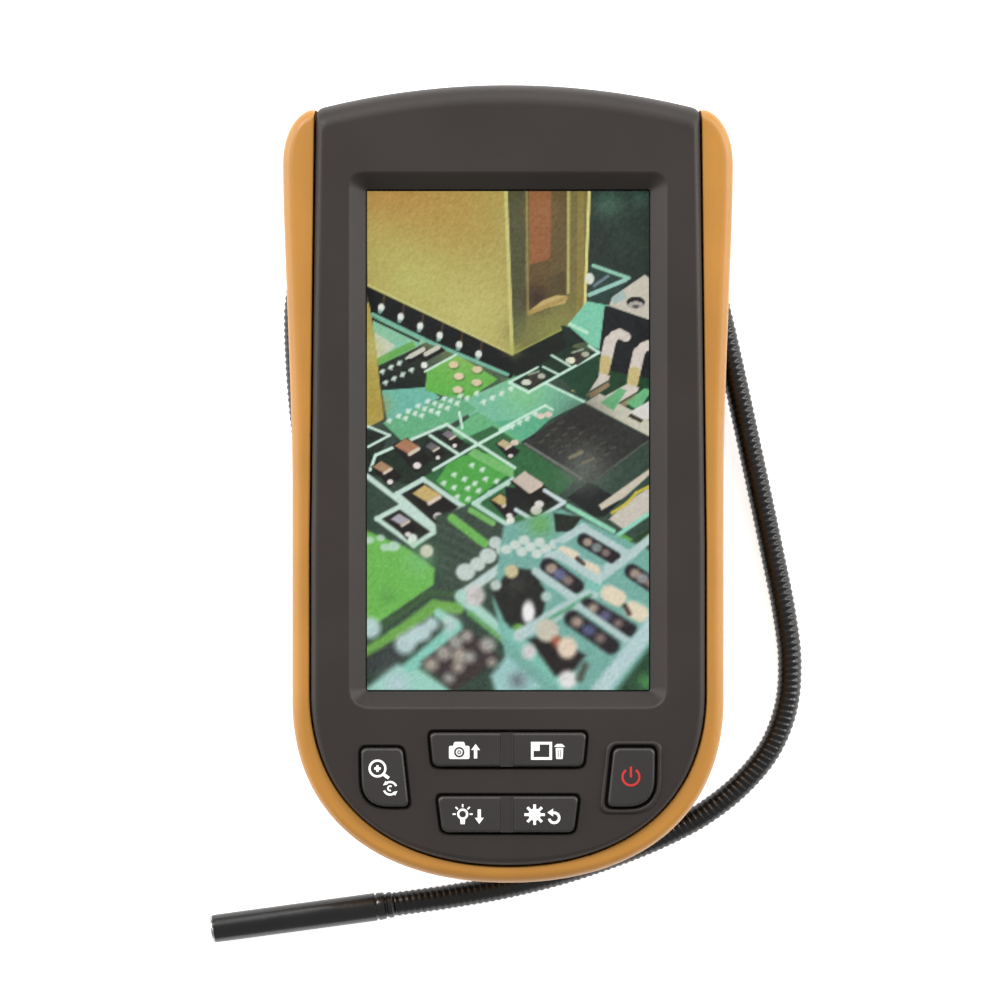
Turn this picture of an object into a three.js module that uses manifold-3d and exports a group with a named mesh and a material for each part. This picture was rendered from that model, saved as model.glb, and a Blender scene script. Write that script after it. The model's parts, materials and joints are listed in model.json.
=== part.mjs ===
// Inspection camera: a hand-held screen unit lying on its back, with the probe's gooseneck wound
// round the hub behind it. Millimetres, +Z up out of the screen, +Y towards the arched top end,
// origin at floor level under the middle of the screen unit.
import * as THREE from 'three';
import { mergeVertices } from 'three/addons/utils/BufferGeometryUtils.js';
import Module from 'manifold-3d';

const wasm = await Module();
wasm.setup();

// ---------------------------------------------------------------- driving dimensions

const GAP = 0.3; // clearance between pieces that touch
const ROUND = 16; // sides of a small round piece
const EDGE_STEPS = 10; // straight steps along each arc or curve of a large outline

// Levels above the floor
const FOOT_TOP = 0.9;
const PLATE = { low: 1.1, high: 2.6 };
const HUB_LOW = PLATE.high + GAP;
const BACK = 9.2;
const PARTING = 20;
const FACE = 34;
const WALL = 1.9;
const FACE_WALL = 3;

// Outline of the dark housing, seen from the front
const HOUSING = {
  archRadius: 147,
  top: 76,
  shoulder: 36.5,
  side: 37.4,
  sideStraightFrom: -12,
  sideStraightTo: -39.7,
  bottom: -72.5,
  curveDown: 20.4,
  curveAcross: 23.3,
};

// Amber bumper: a U round the sides and the bottom, with a rounded horn at each upper end
const BUMPER = {
  hornTop: 71.2,
  hornInner: 37.6,
  hornBulge: 42.9,
  hornBulgeAt: 60.9,
  waist: 41.1,
  waistFrom: 0,
  waistTo: -41.3,
  bottom: -76,
  curveDown: 21.6,
  curveAcross: 25.8,
  low: 11,
  high: 32.2,
  chamfer: 1.6,
};

// Screen stack
const PICTURE = { width: 54.2, height: 95.1, y: 8 };
const BEZEL = { slope: 3.1, depth: 2.8 };
const WINDOW = { width: 62, height: 103.2, low: 29.4, high: 30.7 };
const GASKET = { low: 28.1, high: 29.2, rim: 3.2 };
const PANEL = { width: 67.2, height: 105.5, low: 25.1, high: 27.8 };
const TRAY = { wall: 0.5, low: 24.2, high: 27.4 };

// Keys
const KEY_TOP = 35;
const KEY_LOW = 29.4;
const KEY_FLANGE = { reach: 0.9, height: 1.2 };
const ROCKER_LOW = 28.8;
const ROCKER_FLANGE_HEIGHT = 1;
const KEY_SLOT_GAP = 0.4;
const ROCKERS = {
  upper: { topWidth: 29.8, lowWidth: 28.5, y: -50.45, height: 6.5, radius: 1.1 },
  lower: { topWidth: 26.8, lowWidth: 25, y: -62.7, height: 6.9, radius: 1.1 },
};
const SIDE_KEY = { inner: 19.8, outer: 28, top: -50, bottom: -61.2, innerLow: 18.8, radius: 1.3 };
const KEYBOARD = { low: 24.2, high: 25.4 };
const DOME_SWITCH = { radius: 2.6, height: 0.9 };
const KEYPAD = { low: 26.9, high: 27.5 };
const SWITCH_PLACES = [
  [-23.4, -55.4],
  [23.4, -55.4],
  [-9, -50.4],
  [9, -50.4],
  [-8.3, -62.7],
  [8.3, -62.7],
];

// Hub on the back, and the gooseneck wound round it
const HUB = {
  x: -1.4,
  half: 24.7,
  widestAt: 30.8,
  rise: 20.6,
  drop: 64.1,
  riseHandles: [0.62, 0.6],
  dropHandles: [0.5, 0.7],
};
const CORD = { diameter: 4.8, first: 3.1, pitch: 5.6, coilZ: 5.6, turns: 2.44, leaves: 0.158 };
const GLAND = { length: 12, root: 5.8, tip: 5.3, tail: 4, tailLength: 6 };
const COIL_STEPS = 48; // straight steps per turn
const FREE_STEPS = 44;
const FREE_SIDES = 8;

// The free stretch of the gooseneck after the winding, from the top of the hub round to the head
const FREE_ROUTE = [
  [36.7, 47.4, 5.6],
  [39.4, 40.4, 5.6],
  [41.5, 32.8, 5.3],
  [43.4, 24.8, 4.8],
  [45.4, 16, 4],
  [47.7, 5.5, 3.2],
  [50, -5, 2.6],
  [52.1, -15, 2.5],
  [54, -24.5, 2.5],
  [55.2, -34.5, 2.5],
  [54.5, -43.5, 2.5],
  [51.4, -51.6, 2.5],
  [45.8, -58.6, 2.5],
  [38.5, -64.4, 2.5],
  [30.5, -68.7, 2.5],
  [21, -72.6, 2.5],
  [10.4, -76.1, 2.5],
  [-1, -78.9, 2.5],
  [-12, -80.8, 2.65],
  [-22.2, -82.2, 2.8],
];

// Camera head at the end of the gooseneck
const HEAD = {
  diameter: 5.5,
  bore: 4.3,
  collar: 3,
  length: 32.6,
  backWall: 1.5,
  heading: [-0.9909, -0.1344],
};

// Battery well and its contents
const BATTERY = { width: 34, length: 42, y: 19.5, low: 3.1, high: 11.4 };
const WELL = { gap: 0.6, wall: 1.6, roof: 12.1 };
const DOOR_GAP = 0.3;

// Circuit boards and their fastenings
const BOARD = { halfWidth: 25, low: -36, high: 69, z0: 15.4, z1: 17 };
const BOARD_SCREWS = [
  [-21, 56],
  [21, 56],
  [-21, -31],
  [21, -31],
];
const HOUSING_SCREWS = [
  [-29.5, 66.3],
  [29.5, 66.3],
  [-33, -48.9],
  [33, -48.9],
];
const BOSS_RADIUS = 3;
const SCREW = { shank: 1.2, head: 2.3, headHeight: 1.6 };
const SCREW_HOLE = SCREW.shank + GAP;

// Sockets behind the flap in the top wall
const SOCKETS = { low: 12, high: 15.1, front: 73 };
const FLAP = { half: 15, low: 10.8, high: 17.2, thickness: 1.2, recess: 1.5 };

// Cable wrap plate: four arms that hold the winding, each with an upturned lip
const ARM = { width: 11, clear: 0.6, lip: 1.5, lipTop: 8.2 };
const ARM_TURNS = [0.25, 0.43, 0.74, 0.93];
const PLATE_SCREWS = [
  [-12.4, 46],
  [9.6, 46],
  [-9.4, -22],
  [6.6, -22],
];
const FOOT_RADIUS = 4.6;

// Colours of the finishes
const COLOUR = {
  housing: 0x484240,
  keys: 0x3c3836,
  amber: 0xc88e46,
  rubber: 0x1c1b1a,
  steel: 0xb9bcbe,
  board: 0x1f5a34,
  black: 0x151515,
  glass: 0x8fa3a8,
  gold: 0xc9a24a,
  silver: 0xd0d2d4,
  ceramic: 0xe8e6de,
};

// ---------------------------------------------------------------- solids

// Turns a closed geometry into a solid that can be cut and joined.
function solid(geometry) {
  const bare = geometry.index ? geometry.toNonIndexed() : geometry.clone();
  bare.deleteAttribute('normal');
  bare.deleteAttribute('uv');
  const merged = mergeVertices(bare, 1e-4);
  const vertProperties = merged.attributes.position.array;
  const triVerts = new Uint32Array(merged.index.array);
  return new wasm.Manifold(new wasm.Mesh({ numProp: 3, vertProperties, triVerts }));
}

// Turns a solid back into a geometry.
function geometryOf(body) {
  const mesh = body.getMesh();
  const geometry = new THREE.BufferGeometry();
  geometry.setAttribute('position', new THREE.BufferAttribute(mesh.vertProperties, 3));
  geometry.setIndex(new THREE.BufferAttribute(mesh.triVerts, 1));
  geometry.computeVertexNormals();
  return geometry;
}

// An outline extruded from one level to another.
function slab(shape, low, high, curveSegments = EDGE_STEPS) {
  const geometry = new THREE.ExtrudeGeometry(shape, {
    depth: high - low,
    bevelEnabled: false,
    curveSegments,
  });
  return solid(geometry.translate(0, 0, low));
}

// An outline extruded between two levels, with a chamfer round both ends.
function chamferedSlab(shape, low, high, chamfer, curveSegments = EDGE_STEPS) {
  const geometry = new THREE.ExtrudeGeometry(shape, {
    depth: high - low - 2 * chamfer,
    bevelThickness: chamfer,
    bevelSize: chamfer,
    bevelOffset: -chamfer,
    bevelSegments: 1,
    curveSegments,
  });
  return solid(geometry.translate(0, 0, low + chamfer));
}

// A box between two corners.
function box([x0, y0, z0], [x1, y1, z1]) {
  const geometry = new THREE.BoxGeometry(x1 - x0, y1 - y0, z1 - z0);
  return solid(geometry.translate((x0 + x1) / 2, (y0 + y1) / 2, (z0 + z1) / 2));
}

// An upright round bar.
function rod(x, y, radius, low, high, sides = ROUND) {
  const geometry = new THREE.CylinderGeometry(radius, radius, high - low, sides);
  return solid(geometry.rotateX(Math.PI / 2).translate(x, y, (low + high) / 2));
}

// A solid of revolution about +Z, from [radius, height] points that start and end on the axis.
function turned(profile, sides = ROUND) {
  const points = profile.map(([radius, height]) => new THREE.Vector2(radius, height));
  return solid(new THREE.LatheGeometry(points, sides).rotateX(Math.PI / 2));
}

// A closed outline through the given points.
function polygon(points) {
  return new THREE.Shape(points.map(([x, y]) => new THREE.Vector2(x, y)));
}

// A closed outline of straight sides whose corners are rounded, each by its own radius.
function roundedPolygon(corners) {
  const shape = new THREE.Shape();
  corners.forEach(([x, y, radius], index) => {
    const corner = new THREE.Vector2(x, y);
    const [px, py] = corners[(index + corners.length - 1) % corners.length];
    const [nx, ny] = corners[(index + 1) % corners.length];
    const arrive = new THREE.Vector2(px, py).sub(corner).setLength(radius).add(corner);
    const depart = new THREE.Vector2(nx, ny).sub(corner).setLength(radius).add(corner);
    if (index === 0) shape.moveTo(arrive.x, arrive.y);
    else shape.lineTo(arrive.x, arrive.y);
    shape.quadraticCurveTo(x, y, depart.x, depart.y);
  });
  shape.closePath();
  return shape;
}

// A rectangle centred on a point.
function rectangle(width, height, y = 0, x = 0) {
  const halfWidth = width / 2;
  const halfHeight = height / 2;
  return polygon([
    [x - halfWidth, y - halfHeight],
    [x + halfWidth, y - halfHeight],
    [x + halfWidth, y + halfHeight],
    [x - halfWidth, y + halfHeight],
  ]);
}

// ---------------------------------------------------------------- assembly helpers

const camera = new THREE.Group();
camera.name = 'inspection_camera';

// Adds a piece as a named mesh with its own material.
function add(name, body, color, roughness = 0.6, metalness = 0) {
  const material = new THREE.MeshStandardMaterial({ color, roughness, metalness });
  const mesh = new THREE.Mesh(geometryOf(body), material);
  mesh.name = name;
  camera.add(mesh);
  return mesh;
}

// ---------------------------------------------------------------- outlines

// Height of the arched top wall at a distance from the middle.
function archY(x, grow = 0) {
  const radius = HOUSING.archRadius + grow;
  return HOUSING.top - HOUSING.archRadius + Math.sqrt(radius * radius - x * x);
}

// The dark housing's outline, grown outwards (or shrunk, when negative).
function housingShape(grow = 0) {
  const shoulder = HOUSING.shoulder + grow;
  const side = HOUSING.side + grow;
  const bottom = HOUSING.bottom - grow;
  const radius = HOUSING.archRadius + grow;
  const spread = Math.asin(shoulder / radius);
  const shape = new THREE.Shape();
  shape.moveTo(side, HOUSING.sideStraightTo);
  shape.lineTo(side, HOUSING.sideStraightFrom);
  shape.lineTo(shoulder, archY(shoulder, grow));
  shape.absarc(0, HOUSING.top - HOUSING.archRadius, radius, Math.PI / 2 - spread, Math.PI / 2 + spread);
  shape.lineTo(-side, HOUSING.sideStraightFrom);
  shape.lineTo(-side, HOUSING.sideStraightTo);
  bottomCurve(shape, side, HOUSING.sideStraightTo, bottom, HOUSING.curveDown, HOUSING.curveAcross);
  return shape;
}

// The round lower end of an outline, from its left side to its right side.
function bottomCurve(shape, side, from, bottom, down, across) {
  shape.bezierCurveTo(-side, from - down, -across, bottom, 0, bottom);
  shape.bezierCurveTo(across, bottom, side, from - down, side, from);
}

// The bumper's outer outline, closed straight across between its horns.
function bumperShape() {
  const { waist, hornBulge, hornBulgeAt, hornInner, hornTop } = BUMPER;
  const sideTurn = hornBulgeAt - 14;
  const shape = new THREE.Shape();
  shape.moveTo(waist, BUMPER.waistTo);
  shape.lineTo(waist, BUMPER.waistFrom);
  shape.bezierCurveTo(waist, 20, hornBulge, sideTurn, hornBulge, hornBulgeAt);
  shape.bezierCurveTo(hornBulge, hornBulgeAt + 6, hornInner + 2.6, hornTop - 0.6, hornInner, hornTop);
  shape.lineTo(-hornInner, hornTop);
  shape.bezierCurveTo(-hornInner - 2.6, hornTop - 0.6, -hornBulge, hornBulgeAt + 6, -hornBulge, hornBulgeAt);
  shape.bezierCurveTo(-hornBulge, sideTurn, -waist, 20, -waist, BUMPER.waistFrom);
  shape.lineTo(-waist, BUMPER.waistTo);
  bottomCurve(shape, waist, BUMPER.waistTo, BUMPER.bottom, BUMPER.curveDown, BUMPER.curveAcross);
  return shape;
}

// A rocker key's outline, grown outwards.
function rockerShape(rocker, grow = 0) {
  const top = rocker.topWidth / 2 + grow;
  const low = rocker.lowWidth / 2 + grow;
  const half = rocker.height / 2 + grow;
  const radius = rocker.radius + grow;
  return roundedPolygon([
    [-top, rocker.y + half, radius],
    [-low, rocker.y - half, radius],
    [low, rocker.y - half, radius],
    [top, rocker.y + half, radius],
  ]);
}

// A side key's outline: straight but for one large corner towards the outside of the housing.
function sideKeyShape(sign, grow = 0) {
  const { inner, outer, top, bottom, innerLow, radius } = SIDE_KEY;
  const round = radius + grow;
  return roundedPolygon([
    [sign * (inner - grow), top + grow, round],
    [sign * (outer + grow), top + grow, round],
    [sign * (outer - 0.8 + grow), bottom + 3.4, 2.4],
    [sign * (outer - 4.4 + grow), bottom - grow, 2.2],
    [sign * (innerLow - grow), bottom - grow, round],
  ]);
}

// The hub's base outline as a path, clockwise seen from the front, from its lowest point.
function hubPath() {
  const { x, half, widestAt, rise, drop } = HUB;
  const [upA, acrossA] = HUB.riseHandles;
  const [downB, acrossB] = HUB.dropHandles;
  const top = widestAt + rise;
  const low = widestAt - drop;
  const path = new THREE.Path();
  const left = x - half;
  const right = x + half;
  path.moveTo(x, low);
  path.bezierCurveTo(x - acrossB * half, low, left, widestAt - downB * drop, left, widestAt);
  path.bezierCurveTo(left, widestAt + upA * rise, x - acrossA * half, top, x, top);
  path.bezierCurveTo(x + acrossA * half, top, right, widestAt + upA * rise, right, widestAt);
  path.bezierCurveTo(right, widestAt - downB * drop, x + acrossB * half, low, x, low);
  return path;
}

const hub = hubPath();
hub.arcLengthDivisions = 400;

// A point beside the hub, some turns on from where the cord leaves it, at a distance from the base.
function besideHub(turns, distance) {
  const at = (CORD.leaves + turns) % 1;
  const point = hub.getPointAt(at);
  const along = hub.getTangentAt(at);
  return [point.x - along.y * distance, point.y + along.x * distance];
}

// A point on the winding's centreline. It moves outwards by one pitch per turn.
function coilPoint(turns) {
  return besideHub(turns, CORD.first + CORD.pitch * turns);
}

// The snail-shaped hub outline, whose step is where the cord leaves it.
function hubShape(grow = 0) {
  const points = [];
  for (let step = 0; step <= COIL_STEPS; step += 1) {
    const turns = Math.min(step / COIL_STEPS, 0.9999);
    points.push(besideHub(turns, CORD.pitch * turns + grow));
  }
  return polygon(points.reverse());
}

// ---------------------------------------------------------------- housings

function screwPosts(places, radius, low, high) {
  return places.map(([x, y]) => rod(x, y, radius, low, high)).reduce((all, post) => all.add(post));
}

function wellBox(grow, low, high) {
  const halfWidth = BATTERY.width / 2 + WELL.gap + grow;
  const halfLength = BATTERY.length / 2 + WELL.gap + grow;
  const lowCorner = [HUB.x - halfWidth, BATTERY.y - halfLength, low];
  const highCorner = [HUB.x + halfWidth, BATTERY.y + halfLength, high];
  return box(lowCorner, highCorner);
}

// The strip of the top wall that the flap covers, between two depths below the outer surface.
function topWallStrip(shallow, deep, half, low, high) {
  const strip = slab(housingShape(-shallow), low, high).subtract(slab(housingShape(-deep), low, high));
  return strip.intersect(box([-half, 60, low], [half, 80, high]));
}

function rearHousing() {
  const top = PARTING - GAP / 2;
  const below = box([-50, -90, 0], [50, 90, top]);
  const outer = chamferedSlab(housingShape(), BACK, top + 3, 3).intersect(below);
  const boss = slab(hubShape(), HUB_LOW, BACK + 1);
  const bossPocket = slab(hubShape(-2), HUB_LOW + 1.8, BACK + WALL + 1);
  const interior = slab(housingShape(-WALL), BACK + WALL, PARTING + 1);
  const wellWalls = wellBox(WELL.wall, HUB_LOW, WELL.roof + WELL.wall);
  const posts = screwPosts(BOARD_SCREWS, BOSS_RADIUS, HUB_LOW, BOARD.z0 - GAP);
  const tallPosts = screwPosts(HOUSING_SCREWS, BOSS_RADIUS, BACK, top);
  let body = outer.add(boss).subtract(interior).subtract(bossPocket);
  body = body.add(wellWalls).add(posts.intersect(outer)).add(tallPosts.intersect(outer));
  body = body.subtract(wellBox(0, 0, WELL.roof));
  body = body.subtract(screwPosts(BOARD_SCREWS, SCREW_HOLE, BOARD.z0 - 5, BOARD.z0));
  body = body.subtract(screwPosts(HOUSING_SCREWS, SCREW_HOLE, 0, PARTING));
  body = body.subtract(screwPosts(HOUSING_SCREWS, SCREW.head + GAP, 0, BACK + 3));
  body = body.add(screwPosts(PLATE_SCREWS, BOSS_RADIUS, HUB_LOW, BACK).intersect(boss));
  body = body.subtract(screwPosts(PLATE_SCREWS, SCREW_HOLE, 0, BACK - 1.5));
  body = body.subtract(topWallStrip(-1, FLAP.recess, FLAP.half + GAP, FLAP.low - GAP, FLAP.high + GAP));
  body = body.subtract(box([-10.4, 70, 12.2], [-1.6, 78, 15]));
  body = body.subtract(box([1.2, 70, 12.4], [12.8, 78, 14.8]));
  return body.subtract(glandSocket());
}

function frontHousing() {
  const low = PARTING + GAP / 2;
  const above = box([-50, -90, low], [50, 90, FACE]);
  const outer = chamferedSlab(housingShape(), low - 3, FACE, 1.2).intersect(above);
  const interior = slab(housingShape(-WALL), 0, FACE - FACE_WALL);
  const posts = screwPosts(HOUSING_SCREWS, BOSS_RADIUS, low, FACE - FACE_WALL + 0.5).intersect(outer);
  let body = outer.subtract(interior).add(posts);
  body = body.subtract(screwPosts(HOUSING_SCREWS, SCREW_HOLE, 0, FACE - 6));
  body = body.subtract(slab(rectangle(PICTURE.width, PICTURE.height, PICTURE.y), 0, FACE));
  body = body.subtract(bezelCutter());
  for (const rocker of Object.values(ROCKERS)) {
    body = body.subtract(slab(rockerShape(rocker, KEY_SLOT_GAP), 0, FACE + 1, 3));
  }
  for (const sign of [-1, 1]) {
    body = body.subtract(slab(sideKeyShape(sign, KEY_SLOT_GAP), 0, FACE + 1, 3));
  }
  return body;
}

// The sloping sides round the picture, wider towards the face.
function bezelCutter() {
  const shape = rectangle(PICTURE.width, PICTURE.height, PICTURE.y);
  const geometry = new THREE.ExtrudeGeometry(shape, {
    depth: 2,
    bevelThickness: BEZEL.depth,
    bevelSize: BEZEL.slope,
    bevelSegments: 1,
  });
  return solid(geometry.translate(0, 0, FACE));
}

function bumper() {
  const outer = chamferedSlab(bumperShape(), BUMPER.low, BUMPER.high, BUMPER.chamfer);
  return outer.subtract(slab(housingShape(GAP), 0, FACE + 5));
}

function addHousings() {
  add('rear_housing', rearHousing(), COLOUR.housing, 0.55);
  add('front_housing', frontHousing(), COLOUR.housing, 0.5);
  add('bumper', bumper(), COLOUR.amber, 0.55);
}

// ---------------------------------------------------------------- screen

function addScreen() {
  const { y } = PICTURE;
  const whole = rectangle(WINDOW.width, WINDOW.height, y);
  const inner = rectangle(WINDOW.width - 2 * GASKET.rim, WINDOW.height - 2 * GASKET.rim, y);
  add('screen_window', slab(whole, WINDOW.low, WINDOW.high), COLOUR.glass, 0.05);
  const ring = slab(whole, GASKET.low, GASKET.high);
  add('screen_gasket', ring.subtract(slab(inner, 0, FACE)), COLOUR.rubber, 0.9);
  add('lcd_panel', slab(rectangle(PANEL.width, PANEL.height, y), PANEL.low, PANEL.high), COLOUR.black, 0.2);
  const grow = 2 * (TRAY.wall + GAP);
  const tray = slab(rectangle(PANEL.width + grow, PANEL.height + grow, y), TRAY.low, TRAY.high);
  const room = rectangle(PANEL.width + 2 * GAP, PANEL.height + 2 * GAP, y);
  add('lcd_tray', tray.subtract(slab(room, PANEL.low - GAP, FACE)), COLOUR.steel, 0.4, 0.9);
}

// ---------------------------------------------------------------- keys

function addKeys() {
  const rocker = (shapeOf) => {
    const flangeTop = ROCKER_LOW + ROCKER_FLANGE_HEIGHT;
    const cap = slab(shapeOf(0), ROCKER_LOW, KEY_TOP, 3);
    return cap.add(slab(shapeOf(KEY_FLANGE.reach), ROCKER_LOW, flangeTop, 3));
  };
  const pushed = (shapeOf) => {
    const cap = slab(shapeOf(0), KEY_LOW, KEY_TOP, 3);
    return cap.add(slab(shapeOf(KEY_FLANGE.reach), KEY_LOW, KEY_LOW + KEY_FLANGE.height, 3));
  };
  add('zoom_key', pushed((grow) => sideKeyShape(-1, grow)), COLOUR.keys);
  add('power_key', pushed((grow) => sideKeyShape(1, grow)), COLOUR.keys);
  add('upper_rocker', rocker((grow) => rockerShape(ROCKERS.upper, grow)), COLOUR.keys);
  add('lower_rocker', rocker((grow) => rockerShape(ROCKERS.lower, grow)), COLOUR.keys);
}

function addKeyboard() {
  const region = (inset, low, high, z0, z1) => {
    const sheet = slab(housingShape(-inset), z0, z1).intersect(box([-40, low, z0], [40, high, z1]));
    return sheet.subtract(screwPosts(HOUSING_SCREWS, BOSS_RADIUS + 0.5, z0 - 1, z1 + 1));
  };
  add('key_board', region(3.2, -68, -46.6, KEYBOARD.low, KEYBOARD.high), COLOUR.board, 0.5);
  add('keypad_mat', region(3.6, -69, -46.8, KEYPAD.low, KEYPAD.high), COLOUR.rubber, 0.9);
  SWITCH_PLACES.forEach(([x, y], index) => {
    const low = KEYBOARD.high + GAP;
    const dome = rod(x, y, DOME_SWITCH.radius, low, low + DOME_SWITCH.height, 12);
    add(`key_switch_${index + 1}`, dome, COLOUR.silver, 0.3, 0.9);
  });
}

// ---------------------------------------------------------------- main board and power

// A screw with its head's top at a level; the shank points up (+1) or down (-1).
function screw(x, y, headZ, length, direction) {
  const profile = [
    [0, 0],
    [SCREW.head, 0],
    [SCREW.head, SCREW.headHeight],
    [SCREW.shank, SCREW.headHeight],
    [SCREW.shank, SCREW.headHeight + length],
    [0, SCREW.headHeight + length],
  ];
  const body = turned(profile, 12);
  const turn = direction > 0 ? [0, 0, 0] : [180, 0, 0];
  return body.rotate(turn).translate([x, y, headZ]);
}

function addScrews(prefix, places, headZ, length, direction) {
  places.forEach(([x, y], index) => {
    add(`${prefix}_${index + 1}`, screw(x, y, headZ, length, direction), COLOUR.steel, 0.35, 0.9);
  });
}

function addMainBoard() {
  const { halfWidth, low, high, z0, z1 } = BOARD;
  const holes = screwPosts(BOARD_SCREWS, SCREW_HOLE, z0 - 1, z1 + 1);
  add('main_board', box([-halfWidth, low, z0], [halfWidth, high, z1]).subtract(holes), COLOUR.board, 0.5);
  addScrews('board_screw', BOARD_SCREWS, z1 + GAP + SCREW.headHeight, 4, -1);
  const top = z1 + GAP;
  add('shield_can', box([-14, 4, top], [14, 34, top + 2.6]), COLOUR.steel, 0.35, 0.9);
  add('memory_chip', box([-12, -18, top], [2, -6, top + 1.2]), COLOUR.black);
  add('power_coil', rod(14, -14, 4, top, top + 3, ROUND), COLOUR.black);
  add('clock_cell', rod(-13, 49, 5, top, top + 2.2, ROUND), COLOUR.silver, 0.3, 0.9);
  add('screen_ribbon', box([-10, -42, top], [10, -41.6, TRAY.low - GAP]), COLOUR.gold);
  add('probe_plug', box([-14, -26, z0 - 4.3], [-6, -20, z0 - GAP]), COLOUR.ceramic);
}

function addSockets() {
  const { low, high, front } = SOCKETS;
  const charging = box([-10, front - 8, low], [-2, front, high]);
  const opening = box([-9.2, front - 5, low + 0.6], [-2.8, front + 1, high - 0.6]);
  add('usb_socket', charging.subtract(opening), COLOUR.silver, 0.3, 0.9);
  const reader = box([0.8, front - 14, low], [13.2, front - 0.4, high]);
  const slot = box([1.4, front - 12.5, low + 0.6], [12.6, front, high - 0.6]);
  add('card_socket', reader.subtract(slot), COLOUR.silver, 0.3, 0.9);
  add('memory_card', box([1.7, front - 12, low + 0.9], [12.3, front - 0.6, high - 0.9]), COLOUR.black);
  const flap = topWallStrip(0, FLAP.thickness, FLAP.half, FLAP.low, FLAP.high);
  add('port_cover', flap, COLOUR.rubber, 0.85);
}

function addBattery() {
  const { width, length, y, low, high } = BATTERY;
  const pack = rectangle(width, length, y, HUB.x);
  const end = y + length / 2;
  add('battery_pack', chamferedSlab(pack, low + GAP, high, 1), 0x3a4a78, 0.5);
  add('battery_spring', box([HUB.x - 8, end + 0.15, 4], [HUB.x + 8, end + 0.4, 10]), COLOUR.gold, 0.3, 0.9);
}

// ---------------------------------------------------------------- cable wrap on the back

// How far an arm reaches from the hub's base outline: past the outermost turn that lies over it.
function armReach(turns) {
  const outermost = turns < 0.5 ? Math.min(turns + 2, CORD.turns) : turns + 1;
  return CORD.first + CORD.pitch * outermost + CORD.diameter / 2 + ARM.clear + ARM.lip;
}

// An arm of the wrap plate: it runs out from the hub under the winding and turns up at its end.
function wrapArm(turns) {
  const [x0, y0] = besideHub(turns, -4);
  const [x1, y1] = besideHub(turns, armReach(turns));
  const length = Math.hypot(x1 - x0, y1 - y0);
  const angle = (Math.atan2(y1 - y0, x1 - x0) * 180) / Math.PI;
  const half = ARM.width / 2;
  const bar = box([0, -half, PLATE.low], [length, half, PLATE.high]);
  const lip = box([length - ARM.lip, -half, PLATE.low], [length, half, ARM.lipTop]);
  return bar.add(lip).rotate([0, 0, angle]).translate([x0, y0, 0]);
}

function footPlace(turns) {
  return besideHub(turns, armReach(turns) - FOOT_RADIUS - 0.4);
}

function addWrap() {
  const doorHole = wellBox(0, 0, PLATE.high + 1);
  let plate = slab(hubShape(-0.8), PLATE.low, PLATE.high);
  ARM_TURNS.forEach((turns) => {
    plate = plate.add(wrapArm(turns));
  });
  plate = plate.subtract(doorHole).subtract(screwPosts(PLATE_SCREWS, SCREW_HOLE, 0, PLATE.high + 1));
  plate = plate.subtract(screwPosts(PLATE_SCREWS, SCREW.head + GAP, 0, PLATE.low + 0.8));
  add('wrap_plate', plate, COLOUR.housing, 0.55);
  addScrews('wrap_screw', PLATE_SCREWS, PLATE.low - 0.9, 4, 1);
  add('battery_door', wellBox(-DOOR_GAP, PLATE.low, PLATE.high), COLOUR.housing, 0.55);
  ARM_TURNS.forEach((turns, index) => {
    const [x, y] = footPlace(turns);
    add(`foot_${index + 1}`, rod(x, y, FOOT_RADIUS, 0, FOOT_TOP, 24), COLOUR.rubber, 0.9);
  });
}

// ---------------------------------------------------------------- probe

// Places a piece turned about +Z at the cord's exit, with +Z pointing along the cord.
function atCordExit(body, back) {
  const [x, y] = besideHub(0, CORD.first);
  const [ahead, beyond] = besideHub(0.001, CORD.first);
  const heading = (Math.atan2(beyond - y, ahead - x) * 180) / Math.PI;
  const turnedBody = body.translate([0, 0, -back]).rotate([0, 90, 0]).rotate([0, 0, heading]);
  return turnedBody.translate([x, y, CORD.coilZ]);
}

function glandSocket() {
  const radius = GLAND.tail / 2 + GAP;
  return atCordExit(turned([[0, 0], [radius, 0], [radius, 14], [0, 14]], 12), 12);
}

function addGland() {
  const profile = [
    [0, 0],
    [GLAND.tail / 2, 0],
    [GLAND.tail / 2, GLAND.tailLength + GAP],
    [GLAND.root / 2, GLAND.tailLength + GAP],
    [GLAND.root / 2, GLAND.tailLength + 3],
    [GLAND.tip / 2, GLAND.tailLength + GLAND.length],
    [0, GLAND.tailLength + GLAND.length],
  ];
  add('probe_gland', atCordExit(turned(profile, 12), GLAND.tailLength), COLOUR.rubber, 0.8);
}

// The winding as one solid ring, whose inner and outer edges step where the cord starts and leaves.
function coilSolid() {
  const start = (GLAND.length + 1.5) / hub.getLength();
  const end = CORD.turns % 1;
  const radius = CORD.diameter / 2;
  const ring = (stepAt, before, after) => {
    const points = [];
    for (let step = 0; step <= COIL_STEPS; step += 1) {
      const turns = Math.min(step / COIL_STEPS, 0.9999);
      const previous = (step - 1) / COIL_STEPS;
      if (previous < stepAt && turns >= stepAt) {
        points.push(besideHub(stepAt, before + CORD.pitch * stepAt));
        points.push(besideHub(stepAt + 1e-3, after + CORD.pitch * stepAt));
      }
      points.push(besideHub(turns, (turns < stepAt ? before : after) + CORD.pitch * turns));
    }
    return points;
  };
  const whole = Math.floor(CORD.turns);
  const outerEdge = CORD.first + radius + CORD.pitch * whole;
  const innerEdge = CORD.first - radius;
  const shape = polygon(ring(end, outerEdge, outerEdge - CORD.pitch).reverse());
  shape.holes.push(polygon(ring(start, innerEdge + CORD.pitch, innerEdge)));
  return slab(shape, CORD.coilZ - radius, CORD.coilZ + radius);
}

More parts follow.
